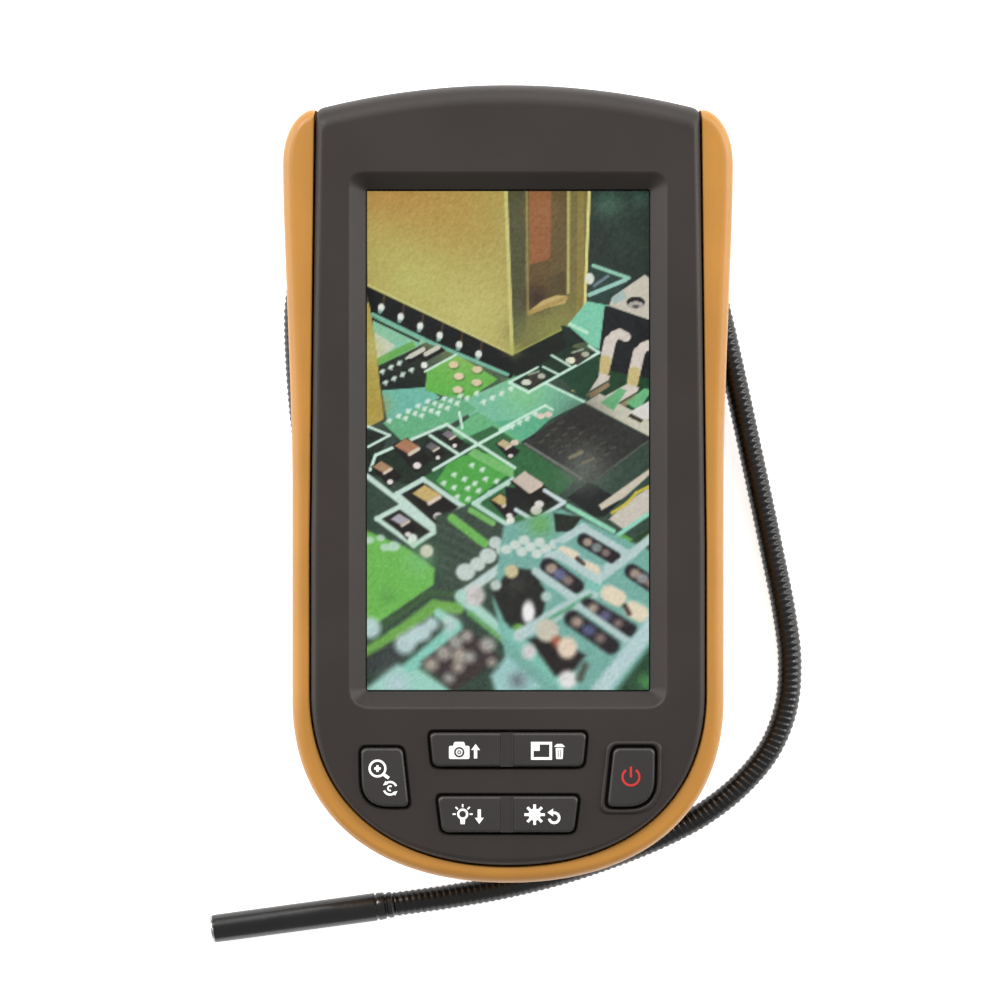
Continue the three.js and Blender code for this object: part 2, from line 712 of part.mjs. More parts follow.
// The free stretch: a tube that starts where the winding ends.
function freeSolid() {
  const start = CORD.turns;
  const points = [0.003, 0.013].map((on) => {
    const [x, y] = besideHub(start + on, CORD.first + CORD.pitch * start);
    return new THREE.Vector3(x, y, CORD.coilZ);
  });
  FREE_ROUTE.forEach(([x, y, z]) => points.push(new THREE.Vector3(x, y, z)));
  const curve = new THREE.CatmullRomCurve3(points, false, 'centripetal');
  const radius = CORD.diameter / 2;
  const section = new THREE.Shape();
  section.absarc(0, 0, radius, 0, 2 * Math.PI);
  const geometry = new THREE.ExtrudeGeometry(section, {
    steps: FREE_STEPS,
    extrudePath: curve,
    curveSegments: FREE_SIDES / 2,
  });
  return solid(geometry);
}

// Places a piece turned about +Z on the head's axis, at a distance on from the end of the cord.
function onHead(body, along) {
  const [x, y, z] = FREE_ROUTE[FREE_ROUTE.length - 1];
  const [dx, dy] = HEAD.heading;
  const heading = (Math.atan2(dy, dx) * 180) / Math.PI;
  return body.translate([0, 0, along]).rotate([0, 90, 0]).rotate([0, 0, heading]).translate([x, y, z]);
}

// A plain round piece of the head, from one distance along it to another.
function headBar(radius, from, to, hole = 0) {
  const profile = hole
    ? [[hole, 0], [radius, 0], [radius, to - from], [hole, to - from], [hole, 0]]
    : [[0, 0], [radius, 0], [radius, to - from], [0, to - from]];
  return onHead(turned(profile), from);
}

function addHead() {
  const radius = HEAD.diameter / 2;
  const bore = HEAD.bore / 2;
  const from = GAP + HEAD.collar + GAP;
  const tip = from + HEAD.length;
  const inner = bore - GAP;
  add('head_collar', headBar(radius, GAP, GAP + HEAD.collar), COLOUR.black, 0.3, 0.6);
  const cup = [
    [0, 0],
    [radius, 0],
    [radius, HEAD.length],
    [bore, HEAD.length],
    [bore, HEAD.backWall],
    [0, HEAD.backWall],
  ];
  add('head_sleeve', onHead(turned(cup, 20), from), COLOUR.black, 0.25, 0.6);
  add('head_window', headBar(inner, tip - 1.1, tip - 0.5), COLOUR.glass, 0.05);
  add('led_ring', headBar(inner, tip - 2.2, tip - 1.4, 1.1), COLOUR.ceramic, 0.4);
  add('lens_barrel', headBar(0.8, tip - 6, tip - 1.5), COLOUR.black, 0.4);
  add('sensor_module', headBar(inner - 0.2, tip - 9, tip - 6.3), COLOUR.board, 0.5);
}

function addProbe() {
  addGland();
  add('probe_coil', coilSolid(), COLOUR.black, 0.4, 0.3);
  add('probe_cable', freeSolid(), COLOUR.black, 0.4, 0.3);
  addHead();
}

// ---------------------------------------------------------------- the whole camera

addHousings();
addScreen();
addKeys();
addKeyboard();
addMainBoard();
addSockets();
addBattery();
addScrews('housing_screw', HOUSING_SCREWS, BACK + 0.7, 14, 1);
addWrap();
addProbe();

export default camera;
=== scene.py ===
"""Looks of the inspection camera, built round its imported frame.

Every size below is in millimetres and turned into metres when a mesh is made. The frame is the
model's own: +Z out of the screen, +Y towards the arched top end, the floor at zero.
"""

from __future__ import annotations

import json
import logging
import math
from dataclasses import dataclass, field
from enum import Enum
from functools import lru_cache
from typing import Any, Sequence

import bmesh
import bpy
import numpy as np
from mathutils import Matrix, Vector

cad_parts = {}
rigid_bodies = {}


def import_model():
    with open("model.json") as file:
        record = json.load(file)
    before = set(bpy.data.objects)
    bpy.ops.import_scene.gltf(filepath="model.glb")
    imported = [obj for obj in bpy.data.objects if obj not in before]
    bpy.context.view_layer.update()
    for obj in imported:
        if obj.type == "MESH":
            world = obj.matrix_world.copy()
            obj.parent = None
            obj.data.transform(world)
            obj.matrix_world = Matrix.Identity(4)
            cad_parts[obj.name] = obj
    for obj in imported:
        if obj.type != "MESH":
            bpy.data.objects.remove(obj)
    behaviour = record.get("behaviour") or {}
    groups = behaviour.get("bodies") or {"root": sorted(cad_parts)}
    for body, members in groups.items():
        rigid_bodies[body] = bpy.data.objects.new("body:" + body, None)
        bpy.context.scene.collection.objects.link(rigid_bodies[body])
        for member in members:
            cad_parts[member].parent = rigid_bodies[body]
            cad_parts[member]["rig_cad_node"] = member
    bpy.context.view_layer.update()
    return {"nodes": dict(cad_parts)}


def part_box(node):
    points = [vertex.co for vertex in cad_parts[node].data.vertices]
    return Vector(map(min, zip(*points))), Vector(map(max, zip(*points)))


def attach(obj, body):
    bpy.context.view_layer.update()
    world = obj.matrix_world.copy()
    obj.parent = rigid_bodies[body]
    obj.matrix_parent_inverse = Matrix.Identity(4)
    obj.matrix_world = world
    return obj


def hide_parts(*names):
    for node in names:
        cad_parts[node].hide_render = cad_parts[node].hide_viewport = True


MM = 0.001
UNIT = "screen_unit"
LOG = logging.getLogger("inspection_camera")

Pair = tuple[float, float]
Triple = tuple[float, float, float]
Colour = Triple
Rows = Sequence[Sequence[float]]
Points = np.ndarray
Piece = bpy.types.Object


# ---- shaders


class Value:
    """A shader socket that takes part in arithmetic."""

    def __init__(self, tree: "ShaderTree", socket: bpy.types.NodeSocket) -> None:
        """Wraps a socket.

        Args:
            tree: The tree that the socket belongs to.
            socket: The output socket.
        """
        self.tree = tree
        self.socket = socket

    def _math(self, operation: str, first: Any, second: Any) -> "Value":
        """Adds one Math node.

        Args:
            operation: The node's operation.
            first: Its first operand.
            second: Its second operand.

        Returns:
            The node's result.
        """
        return self.tree.node("ShaderNodeMath", {"operation": operation}, {0: first, 1: second})

    def __add__(self, other: Any) -> "Value":
        """Adds a number or a value."""
        return self._math("ADD", self, other)

    __radd__ = __add__

    def __sub__(self, other: Any) -> "Value":
        """Subtracts a number or a value."""
        return self._math("SUBTRACT", self, other)

    def __mul__(self, other: Any) -> "Value":
        """Multiplies by a number or a value."""
        return self._math("MULTIPLY", self, other)

    __rmul__ = __mul__

    def clamped(self) -> "Value":
        """Limits the value to 0 to 1."""
        settings = {"operation": "ADD", "use_clamp": True}
        return self.tree.node("ShaderNodeMath", settings, {0: self, 1: 0.0})


class ShaderTree:
    """A material's node tree with one Principled shader."""

    def __init__(self, name: str) -> None:
        """Makes the material.

        Args:
            name: The material's name.
        """
        self.material = bpy.data.materials.new(name)
        self.material.use_nodes = True
        self.tree = self.material.node_tree
        self.shader = self.tree.nodes["Principled BSDF"]

    def node(
        self, kind: str, settings: dict | None = None, inputs: dict | None = None, output: int | str = 0
    ) -> Value:
        """Adds a node.

        Args:
            kind: The node's type.
            settings: Its properties, set before its sockets.
            inputs: Its sockets' values or links, by name or number.
            output: The output that is returned.

        Returns:
            The chosen output.
        """
        node = self.tree.nodes.new(kind)
        for key, value in (settings or {}).items():
            setattr(node, key, value)
        for key, value in (inputs or {}).items():
            self._feed(node.inputs[key], value)
        return Value(self, node.outputs[output])

    def _feed(self, socket: bpy.types.NodeSocket, value: Any) -> None:
        """Links or sets one socket.

        Args:
            socket: The input socket.
            value: A value to link, or a constant.
        """
        if isinstance(value, Value):
            self.tree.links.new(value.socket, socket)
        elif isinstance(value, tuple) and len(value) == 3 and socket.type == "RGBA":
            socket.default_value = (*value, 1.0)
        else:
            socket.default_value = value

    def place(self) -> Value:
        """Gives the object's own coordinates, in metres."""
        return self.node("ShaderNodeTexCoord", output="Object")

    def scaled(self, scale: Sequence[float]) -> Value:
        """Gives the object's coordinates stretched along each axis.

        Args:
            scale: The three factors.

        Returns:
            The stretched coordinates.
        """
        settings = {"operation": "MULTIPLY"}
        return self.node("ShaderNodeVectorMath", settings, {0: self.place(), 1: tuple(scale)})

    def noise(self, scale: float, detail: float = 2.0, where: Value | None = None) -> Value:
        """Gives a noise pattern.

        Args:
            scale: Patches per metre.
            detail: Octaves.
            where: The coordinates, or None for the object's own.

        Returns:
            The noise, about 0.5 in the middle.
        """
        inputs = {"Vector": where or self.place(), "Scale": scale, "Detail": detail}
        return self.node("ShaderNodeTexNoise", {}, inputs, "Fac")

    def ramp(self, factor: Value, stops: Sequence[tuple[float, Colour]]) -> Value:
        """Maps a value to a colour.

        Args:
            factor: The value.
            stops: Positions and their colours, two or more.

        Returns:
            The colour.
        """
        node = self.tree.nodes.new("ShaderNodeValToRGB")
        elements = node.color_ramp.elements
        for index, (position, colour) in enumerate(stops):
            element = elements[index] if index < 2 else elements.new(position)
            element.position = position
            element.color = (*colour, 1.0)
        self.tree.links.new(factor.socket, node.inputs[0])
        return Value(self, node.outputs[0])

    def mix(self, factor: Any, first: Any, second: Any) -> Value:
        """Mixes two colours.

        Args:
            factor: How much of the second.
            first: The first colour.
            second: The second colour.

        Returns:
            The mixed colour.
        """
        inputs = {0: factor, 6: first, 7: second}
        return self.node("ShaderNodeMix", {"data_type": "RGBA"}, inputs, 2)

    def bump(self, height: Value, strength: float, distance: float) -> Value:
        """Turns a height into a normal.

        Args:
            height: The height pattern.
            strength: From 0 to 1.
            distance: The height in metres that the pattern's 1 stands for.

        Returns:
            The bumped normal.
        """
        inputs = {"Height": height, "Strength": strength, "Distance": distance}
        return self.node("ShaderNodeBump", {}, inputs)

    def principled(self, **inputs: Any) -> bpy.types.Material:
        """Sets the shader's sockets, named with underscores for spaces.

        Args:
            **inputs: Socket values or links.

        Returns:
            The finished material.
        """
        for key, value in inputs.items():
            self._feed(self.shader.inputs[key.replace("_", " ")], value)
        return self.material


@dataclass(frozen=True)
class MouldedPlastic:
    """Injection-moulded plastic with a spark-eroded grain and a faint mottling."""

    name: str
    colour: Colour
    roughness: float
    grain: float = 3500.0
    depth: float = 0.00002
    mottling: float = 0.1
    specular: float = 0.5

    def material(self) -> bpy.types.Material:
        """Builds the material."""
        tree = ShaderTree(self.name)
        light = tuple(min(1.0, c * (1 + self.mottling)) for c in self.colour)
        dark = tuple(c * (1 - self.mottling) for c in self.colour)
        patches = tree.noise(scale=55.0, detail=4.0)
        grain = tree.noise(scale=self.grain, detail=3.0)
        return tree.principled(
            Base_Color=tree.ramp(patches, [(0.35, dark), (0.65, light)]),
            Roughness=(self.roughness + 0.12 * (grain - 0.5)).clamped(),
            Specular_IOR_Level=self.specular,
            Normal=tree.bump(grain, strength=0.35, distance=self.depth),
        )


@dataclass(frozen=True)
class SoftRubber:
    """Matt rubber with dust in its pores."""

    name: str
    colour: Colour
    roughness: float = 0.8

    def material(self) -> bpy.types.Material:
        """Builds the material."""
        tree = ShaderTree(self.name)
        dusty = tuple(min(1.0, c * 1.9 + 0.01) for c in self.colour)
        dust = tree.noise(scale=160.0, detail=5.0)
        pores = tree.noise(scale=2600.0, detail=4.0)
        return tree.principled(
            Base_Color=tree.ramp(dust, [(0.45, self.colour), (0.8, dusty)]),
            Roughness=(self.roughness + 0.15 * (dust - 0.5)).clamped(),
            Normal=tree.bump(pores, strength=0.5, distance=0.00003),
        )


@dataclass(frozen=True)
class WorkedMetal:
    """Metal with fine scratches along one axis."""

    name: str
    colour: Colour
    roughness: float
    brushed: Triple = (300.0, 6000.0, 6000.0)

    def material(self) -> bpy.types.Material:
        """Builds the material."""
        tree = ShaderTree(self.name)
        scratches = tree.noise(scale=1.0, detail=4.0, where=tree.scaled(self.brushed))
        dull = tuple(c * 0.75 for c in self.colour)
        return tree.principled(
            Base_Color=tree.ramp(scratches, [(0.3, dull), (0.7, self.colour)]),
            Roughness=(self.roughness + 0.25 * (scratches - 0.5)).clamped(),
            Metallic=1.0,
            Normal=tree.bump(scratches, strength=0.2, distance=0.00001),
        )


@dataclass(frozen=True)
class GlossCoat:
    """Gloss lacquer or film over a coloured base."""

    name: str
    colour: Colour
    roughness: float = 0.12
    coat: float = 0.6

    def material(self) -> bpy.types.Material:
        """Builds the material."""
        tree = ShaderTree(self.name)
        smear = tree.noise(scale=240.0, detail=3.0)
        light = tuple(min(1.0, c * 1.3 + 0.002) for c in self.colour)
        return tree.principled(
            Base_Color=tree.ramp(smear, [(0.4, self.colour), (0.75, light)]),
            Roughness=(self.roughness + 0.1 * (smear - 0.5)).clamped(),
            Coat_Weight=self.coat,
            Coat_Roughness=0.08,
            Normal=tree.bump(tree.noise(scale=900.0, detail=2.0), strength=0.05, distance=0.00002),
        )


@dataclass(frozen=True)
class ClearSheet:
    """Thin clear acrylic or glass, almost wholly transparent, with its reflections kept."""

    name: str
    opacity: float = 0.05

    def material(self) -> bpy.types.Material:
        """Builds the material."""
        tree = ShaderTree(self.name)
        smear = tree.noise(scale=70.0, detail=3.0)
        return tree.principled(
            Base_Color=tree.ramp(smear, [(0.4, (0.02, 0.02, 0.02)), (0.6, (0.03, 0.03, 0.03))]),
            Roughness=(0.04 + 0.04 * smear).clamped(),
            Alpha=self.opacity,
            Specular_IOR_Level=0.25,
        )


@dataclass(frozen=True)
class PrintedBoard:
    """Circuit board laminate with traces under its solder mask."""

    name: str
    mask: Colour
    trace: Colour

    def material(self) -> bpy.types.Material:
        """Builds the material."""
        tree = ShaderTree(self.name)
        cells = tree.node(
            "ShaderNodeTexBrick",
            {"offset": 0.37, "squash": 0.6},
            {"Vector": tree.place(), "Scale": 260.0, "Mortar Size": 0.03},
            "Fac",
        )
        patches = tree.noise(scale=300.0, detail=2.0)
        mask = tree.ramp(patches, [(0.4, self.mask), (0.7, tuple(c * 1.4 for c in self.mask))])
        return tree.principled(
            Base_Color=tree.mix(cells, mask, self.trace),
            Roughness=(0.3 + 0.2 * patches).clamped(),
            Coat_Weight=0.4,
            Normal=tree.bump(cells, strength=0.3, distance=0.00003),
        )


@dataclass(frozen=True)
class GooseneckSheath:
    """Black-brown lacquered sheath over wound wire."""

    name: str = "gooseneck_sheath"

    def material(self) -> bpy.types.Material:
        """Builds the material."""
        tree = ShaderTree(self.name)
        rub = tree.noise(scale=420.0, detail=4.0)
        base = tree.ramp(rub, [(0.35, (0.002, 0.0015, 0.0014)), (0.75, (0.007, 0.005, 0.0045))])
        return tree.principled(
            Base_Color=base,
            Roughness=(0.3 + 0.15 * (rub - 0.5)).clamped(),
            Specular_IOR_Level=0.42,
            Coat_Weight=0.04,
            Coat_Roughness=0.2,
            Normal=tree.bump(tree.noise(scale=3200.0, detail=2.0), strength=0.15, distance=0.00002),
        )


@lru_cache(maxsize=None)
def made_material(maker: Any) -> bpy.types.Material:
    """Builds a finish's material once.

    Args:
        maker: The finish.

    Returns:
        Its material.
    """
    return maker.material()


class Finish(Enum):
    """The finishes of the camera, each with the record's material slot that it stands for."""

    HOUSING = (
        MouldedPlastic("housing_grey", (0.022, 0.0168, 0.0148), 0.48, specular=0.32),
        "housing_plastic",
    )
    AMBER = (
        MouldedPlastic("bumper_amber", (0.395, 0.175, 0.025), 0.42, 2600.0, 0.000012, 0.05),
        "bumper_plastic",
    )
    KEY = (MouldedPlastic("key_grey", (0.019, 0.016, 0.015), 0.42, 4200.0), "key_plastic")
    MARK_WHITE = (MouldedPlastic("mark_white", (0.85, 0.85, 0.83), 0.5), "key_plastic")
    MARK_RED = (MouldedPlastic("mark_red", (0.5, 0.022, 0.02), 0.45), "key_plastic")
    SHEATH = (GooseneckSheath(), "gooseneck")
    HEAD = (GlossCoat("head_black", (0.002, 0.0018, 0.0016), 0.26, 0.15), "head_metal")
    RIM = (WorkedMetal("head_rim", (0.5, 0.5, 0.5), 0.25), "head_metal")
    WINDOW = (ClearSheet("clear_window"), "clear_window")
    BORDER = (GlossCoat("screen_border", (0.004, 0.004, 0.004), 0.2, 0.3), "screen_glass")
    RUBBER = (SoftRubber("black_rubber", (0.02, 0.019, 0.018)), "seal_rubber")
    FOOT = (SoftRubber("foot_rubber", (0.026, 0.025, 0.024)), "foot_rubber")
    SHEET = (WorkedMetal("tinned_sheet", (0.6, 0.6, 0.59), 0.3), "sheet_steel")
    CELL = (WorkedMetal("nickel", (0.75, 0.74, 0.72), 0.18, (2000.0, 2000.0, 300.0)), "cell_steel")
    SCREW = (WorkedMetal("zinc_screw", (0.5, 0.5, 0.51), 0.3), "screw_steel")
    BOARD = (PrintedBoard("solder_mask", (0.012, 0.09, 0.035), (0.03, 0.2, 0.08)), "board_laminate")
    CHIP = (MouldedPlastic("chip_epoxy", (0.015, 0.015, 0.016), 0.6), "chip_plastic")
    FILM = (GlossCoat("ribbon_film", (0.4, 0.22, 0.06)), "ribbon_film")
    NYLON = (MouldedPlastic("nylon", (0.75, 0.73, 0.66), 0.5), "connector_plastic")
    BRASS = (WorkedMetal("contact_brass", (0.75, 0.55, 0.22), 0.25), "contact_brass")
    WRAP = (GlossCoat("battery_wrap", (0.03, 0.07, 0.2)), "battery_wrap")
    LED = (MouldedPlastic("led_ceramic", (0.85, 0.83, 0.75), 0.4), "led_ceramic")

    def dress(self, piece: Piece) -> None:
        """Gives a piece this finish.

        Args:
            piece: The mesh object.
        """
        maker, slot = self.value
        piece.data.materials.clear()
        piece.data.materials.append(made_material(maker))
        "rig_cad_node" not in piece


# ---- outlines


def bezier(points: Rows, count: int) -> Points:
    """Samples a cubic Bézier curve, without its last point.

    Args:
        points: Its four control points.
        count: How many samples.

    Returns:
        The samples, one row each.
    """
    p0, p1, p2, p3 = (np.asarray(p, float) for p in points)
    t = np.linspace(0, 1, count, endpoint=False)[:, None]
    return (1 - t) ** 3 * p0 + 3 * (1 - t) ** 2 * t * p1 + 3 * (1 - t) * t * t * p2 + t**3 * p3


def arc(centre: Sequence[float], radius: float, start: float, end: float, count: int) -> Points:
    """Samples an arc, without its last point.

    Args:
        centre: The arc's centre.
        radius: Its radius.
        start: Its first angle, in radians.
        end: Its last angle.
        count: How many samples.

    Returns:
        The samples.
    """
    angle = np.linspace(start, end, count, endpoint=False)
    return np.stack([centre[0] + radius * np.cos(angle), centre[1] + radius * np.sin(angle)], 1)


def line(start: Sequence[float], end: Sequence[float], count: int) -> Points:
    """Samples a straight line, without its last point.

    Args:
        start: The first point.
        end: The last point.
        count: How many samples.

    Returns:
        The samples.
    """
    t = np.linspace(0, 1, count, endpoint=False)[:, None]
    return (1 - t) * np.asarray(start, float) + t * np.asarray(end, float)


def rounded(corners: Rows, steps: int = 8, along: int = 6) -> Points:
    """Samples a closed outline of straight sides with rounded corners.

    Args:
        corners: One x, y and corner radius each.
        steps: Samples round each corner.
        along: Samples along each side.

    Returns:
        The samples.
    """
    pieces = []
    count = len(corners)
    pull, rest = 0.66, 0.34
    for index in range(count):
        corner = np.array(corners[index][:2], float)
        radius = corners[index][2]
        before = np.array(corners[index - 1][:2], float) - corner
        after = np.array(corners[(index + 1) % count][:2], float) - corner
        arrive = corner + before / np.linalg.norm(before) * radius
        depart = corner + after / np.linalg.norm(after) * radius
        control = corner * pull
        pieces.append(bezier([arrive, arrive * rest + control, depart * rest + control, depart], steps))
        following = np.array(corners[(index + 1) % count][:2], float)
        reach = corners[(index + 1) % count][2]
        end = following - after / np.linalg.norm(after) * reach
        pieces.append(line(depart, end, along))
    return np.concatenate(pieces)


def grown(corners: Rows, grow: float, least: float = 0.15) -> list[Triple]:
    """Moves the sides of a convex outline outwards.

    Args:
        corners: One x, y and corner radius each.
        grow: How far, negative for inwards.
        least: The smallest corner radius that may be left.

    Returns:
        The new corners.
    """
    points = np.array([c[:2] for c in corners], float)
    clockwise = np.cross(points[1] - points[0], points[2] - points[1]) < 0
    outwards = -grow if clockwise else grow
    result = []
    for index, (x, y, radius) in enumerate(corners):
        before = points[index] - points[index - 1]
        after = points[(index + 1) % len(points)] - points[index]
        before /= np.linalg.norm(before)
        after /= np.linalg.norm(after)
        n0 = np.array([before[1], -before[0]])
        n1 = np.array([after[1], -after[0]])
        shift = (n0 + n1) / (1 + float(n0 @ n1)) * outwards
        result.append((x + shift[0], y + shift[1], max(least, radius + grow * 0.6)))
    return result


def at_height(outline: Points, height: float | Points) -> Points:
    """Lifts a flat outline to a height, which may differ from point to point.

    Args:
        outline: Rows of x and y.
        height: The height or one height per point.

    Returns:
        Rows of x, y and z.
    """
    return np.column_stack([outline, np.broadcast_to(height, len(outline))])


# ---- meshes


def mesh_object(name: str, vertices: Points, faces: Sequence[Sequence[int]]) -> Piece:
    """Makes a mesh object from millimetre vertices, with its faces turned outwards.

    Args:
        name: The object's name.
        vertices: Rows of x, y and z.
        faces: Vertex numbers of each face.

    Returns:
        The object.
    """
    mesh = bpy.data.meshes.new(name)
    mesh.from_pydata((np.asarray(vertices, float) * MM).tolist(), [], [list(f) for f in faces])
    shape = bmesh.new()
    shape.from_mesh(mesh)
    bmesh.ops.remove_doubles(shape, verts=shape.verts, dist=1e-7)
    bmesh.ops.recalc_face_normals(shape, faces=shape.faces)
    shape.to_mesh(mesh)
    shape.free()
    piece = bpy.data.objects.new(name, mesh)
    bpy.context.scene.collection.objects.link(piece)
    return piece


def loft(name: str, rings: Sequence[Points], closed: bool = False) -> Piece:
    """Skins a row of rings that have the same number of points.

    Args:
        name: The object's name.
        rings: The rings, each closed on itself.
        closed: Whether the last ring joins the first; otherwise both ends are capped.

    Returns:
        The solid.
    """
    size = len(rings[0])
    count = len(rings)
    faces: list[list[int]] = []
    for row in range(count if closed else count - 1):
        low = row * size
        high = ((row + 1) % count) * size
        for k in range(size):
            following = (k + 1) % size
            faces.append([low + k, low + following, high + following, high + k])
    if not closed:
        faces.append(list(range(size)))
        faces.append(list(range((count - 1) * size, count * size)))
    return mesh_object(name, np.concatenate(rings), faces)


def cut_away(piece: Piece, cutter: Piece) -> None:
    """Cuts a solid out of a piece and removes the cutter.

    Args:
        piece: The piece.
        cutter: The solid that is cut out of it.
    """
    modifier = piece.modifiers.new("cut", "BOOLEAN")
    modifier.operation = "DIFFERENCE"
    modifier.solver = "EXACT"
    modifier.object = cutter
    graph = bpy.context.evaluated_depsgraph_get()
    mesh = bpy.data.meshes.new_from_object(piece.evaluated_get(graph))
    piece.modifiers.clear()
    piece.data = mesh
    bpy.data.objects.remove(cutter)


def smoothed(piece: Piece, angle: float = 32.0) -> Piece:
    """Shades a piece smoothly, with sharp edges kept and flat faces kept flat.

    Args:
        piece: The object.
        angle: Edges bent by more degrees than this stay sharp.

    Returns:
        The same object.
    """
    piece.data.shade_smooth()
    piece.data.set_sharp_from_angle(angle=math.radians(angle))
    modifier = piece.modifiers.new("flat_faces", "WEIGHTED_NORMAL")
    modifier.keep_sharp = True
    modifier.weight = 80
    return piece


def round_edge(radius: float, steps: int = 7) -> list[Pair]:
    """Gives the inset and the drop of each step of a rounded upper edge.

    Args:
        radius: The edge's radius.
        steps: How many steps.

    Returns:
        Inset and drop, from the side wall to the flat top.
    """
    angles = np.linspace(0, math.pi / 2, steps + 1)
    return [(radius * (1 - math.cos(a)), radius * (1 - math.sin(a))) for a in angles]


# ---- studio


@dataclass
class Studio:
    """Camera, floor and lights."""

    stand_off: float = 1000.0
    face: float = 34.0
    aim: Pair = (-1.52, -3.1)
    focal: float = 189.7
    floor_half: float = 6000.0
    floor_glow: float = 0.74
    sky: float = 0.52
    target: Triple = (0, 0, 0.02)
    lamps: tuple[tuple[str, Triple, float, float], ...] = (
        ("key", (0.1, 1.3, 0.8), 0.8, 8),
        ("glint_right", (0.86, 0.8, 1.02), 0.24, 7),
        ("glint_left", (-0.62, 0.72, 1.0), 0.24, 10),
        ("fill_left", (-1.35, 0.35, 0.5), 0.7, 11.5),
        ("fill_right", (1.35, 0.35, 0.5), 0.7, 13),
    )

    def build(self) -> None:
        """Makes the camera, the floor, the lights and the world."""
        self.camera()
        self.floor()
        for name, place, size, power in self.lamps:
            self.lamp(name, place, size, power)
        self.world()

    def camera(self) -> None:
        """Places the camera straight above the middle of the unit and its probe."""
        data = bpy.data.cameras.new("camera")
        data.lens = self.focal
        data.clip_start = 0.01
        data.clip_end = 30
        camera = bpy.data.objects.new("camera", data)
        camera.location = (self.aim[0] * MM, self.aim[1] * MM, (self.face + self.stand_off) * MM)
        bpy.context.scene.collection.objects.link(camera)
        bpy.context.scene.camera = camera

    def floor(self) -> None:
        """Makes the pale floor."""
        half = self.floor_half
        corners = np.array([[-half, -half, 0], [half, -half, 0], [half, half, 0], [-half, half, 0]])
        floor = mesh_object("floor", corners, [[0, 1, 2, 3]])
        if floor.data.polygons[0].normal.z < 0:
            floor.data.flip_normals()
        tree = ShaderTree("floor_white")
        floor.data.materials.append(
            tree.principled(
                Base_Color=(0.93, 0.93, 0.93),
                Roughness=0.9,
                Specular_IOR_Level=0.1,
                Emission_Color=(1.0, 1.0, 1.0),
                Emission_Strength=self.floor_glow,
            )
        )

    def lamp(self, name: str, place: Triple, size: float, power: float) -> None:
        """Adds a soft square light that points at the unit.

        Args:
            name: The light's name.
            place: Where it stands, in metres.
            size: Its side, in metres.
            power: Its power, in watts.
        """
        data = bpy.data.lights.new(name, "AREA")
        data.shape = "SQUARE"
        data.size = size
        data.energy = power
        lamp = bpy.data.objects.new(name, data)
        lamp.location = place
        lamp.rotation_euler = (Vector(self.target) - Vector(place)).to_track_quat("-Z", "Y").to_euler()
        bpy.context.scene.collection.objects.link(lamp)

    def world(self) -> None:
        """Fills the surroundings with even white light."""
        world = bpy.data.worlds.new("studio")
        world.use_nodes = True
        background = world.node_tree.nodes["Background"]
        background.inputs[0].default_value = (1, 1, 1, 1)
        background.inputs[1].default_value = self.sky
        bpy.context.scene.world = world
        bpy.context.scene.view_settings.view_transform = "Standard"
        bpy.context.scene.view_settings.look = "None"


# ---- cord


@dataclass
class HubCurve:
    """The hub's base outline, which the gooseneck is wound round in a slowly widening spiral."""

    x: float = -1.4
    half: float = 24.7
    widest_at: float = 30.8
    rise: float = 20.6
    drop: float = 64.1
    rise_handles: Pair = (0.62, 0.6)
    drop_handles: Pair = (0.5, 0.7)
    leaves: float = 0.158
    samples: int = 400
    nudge: float = 0.2
    points: Points = field(init=False)
    lengths: Points = field(init=False)

    def __post_init__(self) -> None:
        """Samples the outline clockwise from its lowest point."""
        middle, widest = self.x, self.widest_at
        top, low = widest + self.rise, widest - self.drop
        up, across = self.rise_handles
        down, along = self.drop_handles
        left, right = middle - self.half, middle + self.half
        upper, lower = widest + up * self.rise, widest - down * self.drop
        over, under = across * self.half, along * self.half
        curves = [
            [(middle, low), (middle - under, low), (left, lower), (left, widest)],
            [(left, widest), (left, upper), (middle - over, top), (middle, top)],
            [(middle, top), (middle + over, top), (right, upper), (right, widest)],
            [(right, widest), (right, lower), (middle + under, low), (middle, low)],
        ]
        self.points = np.concatenate([bezier(curve, self.samples) for curve in curves])
        closed = np.vstack([self.points, self.points[:1]])
        steps = np.linalg.norm(np.diff(closed, axis=0), axis=1)
        self.lengths = np.concatenate([[0], np.cumsum(steps)])
        self.points = closed

    def beside(self, turns: float, distance: float) -> Pair:
        """Gives a point beside the hub.

        Args:
            turns: Turns on from where the gooseneck leaves the hub.
            distance: Distance outwards from the base outline.

        Returns:
            Its x and y.
        """
        at = ((self.leaves + turns) % 1.0) * self.lengths[-1]
        ahead = min(at + self.nudge, self.lengths[-1])
        behind = max(at - self.nudge, 0.0)
        point, nose, tail = (
            [np.interp(length, self.lengths, self.points[:, k]) for k in (0, 1)]
            for length in (at, ahead, behind)
        )
        dx, dy = nose[0] - tail[0], nose[1] - tail[1]
        size = math.hypot(dx, dy)
        return point[0] - dy / size * distance, point[1] + dx / size * distance


HUB = HubCurve()

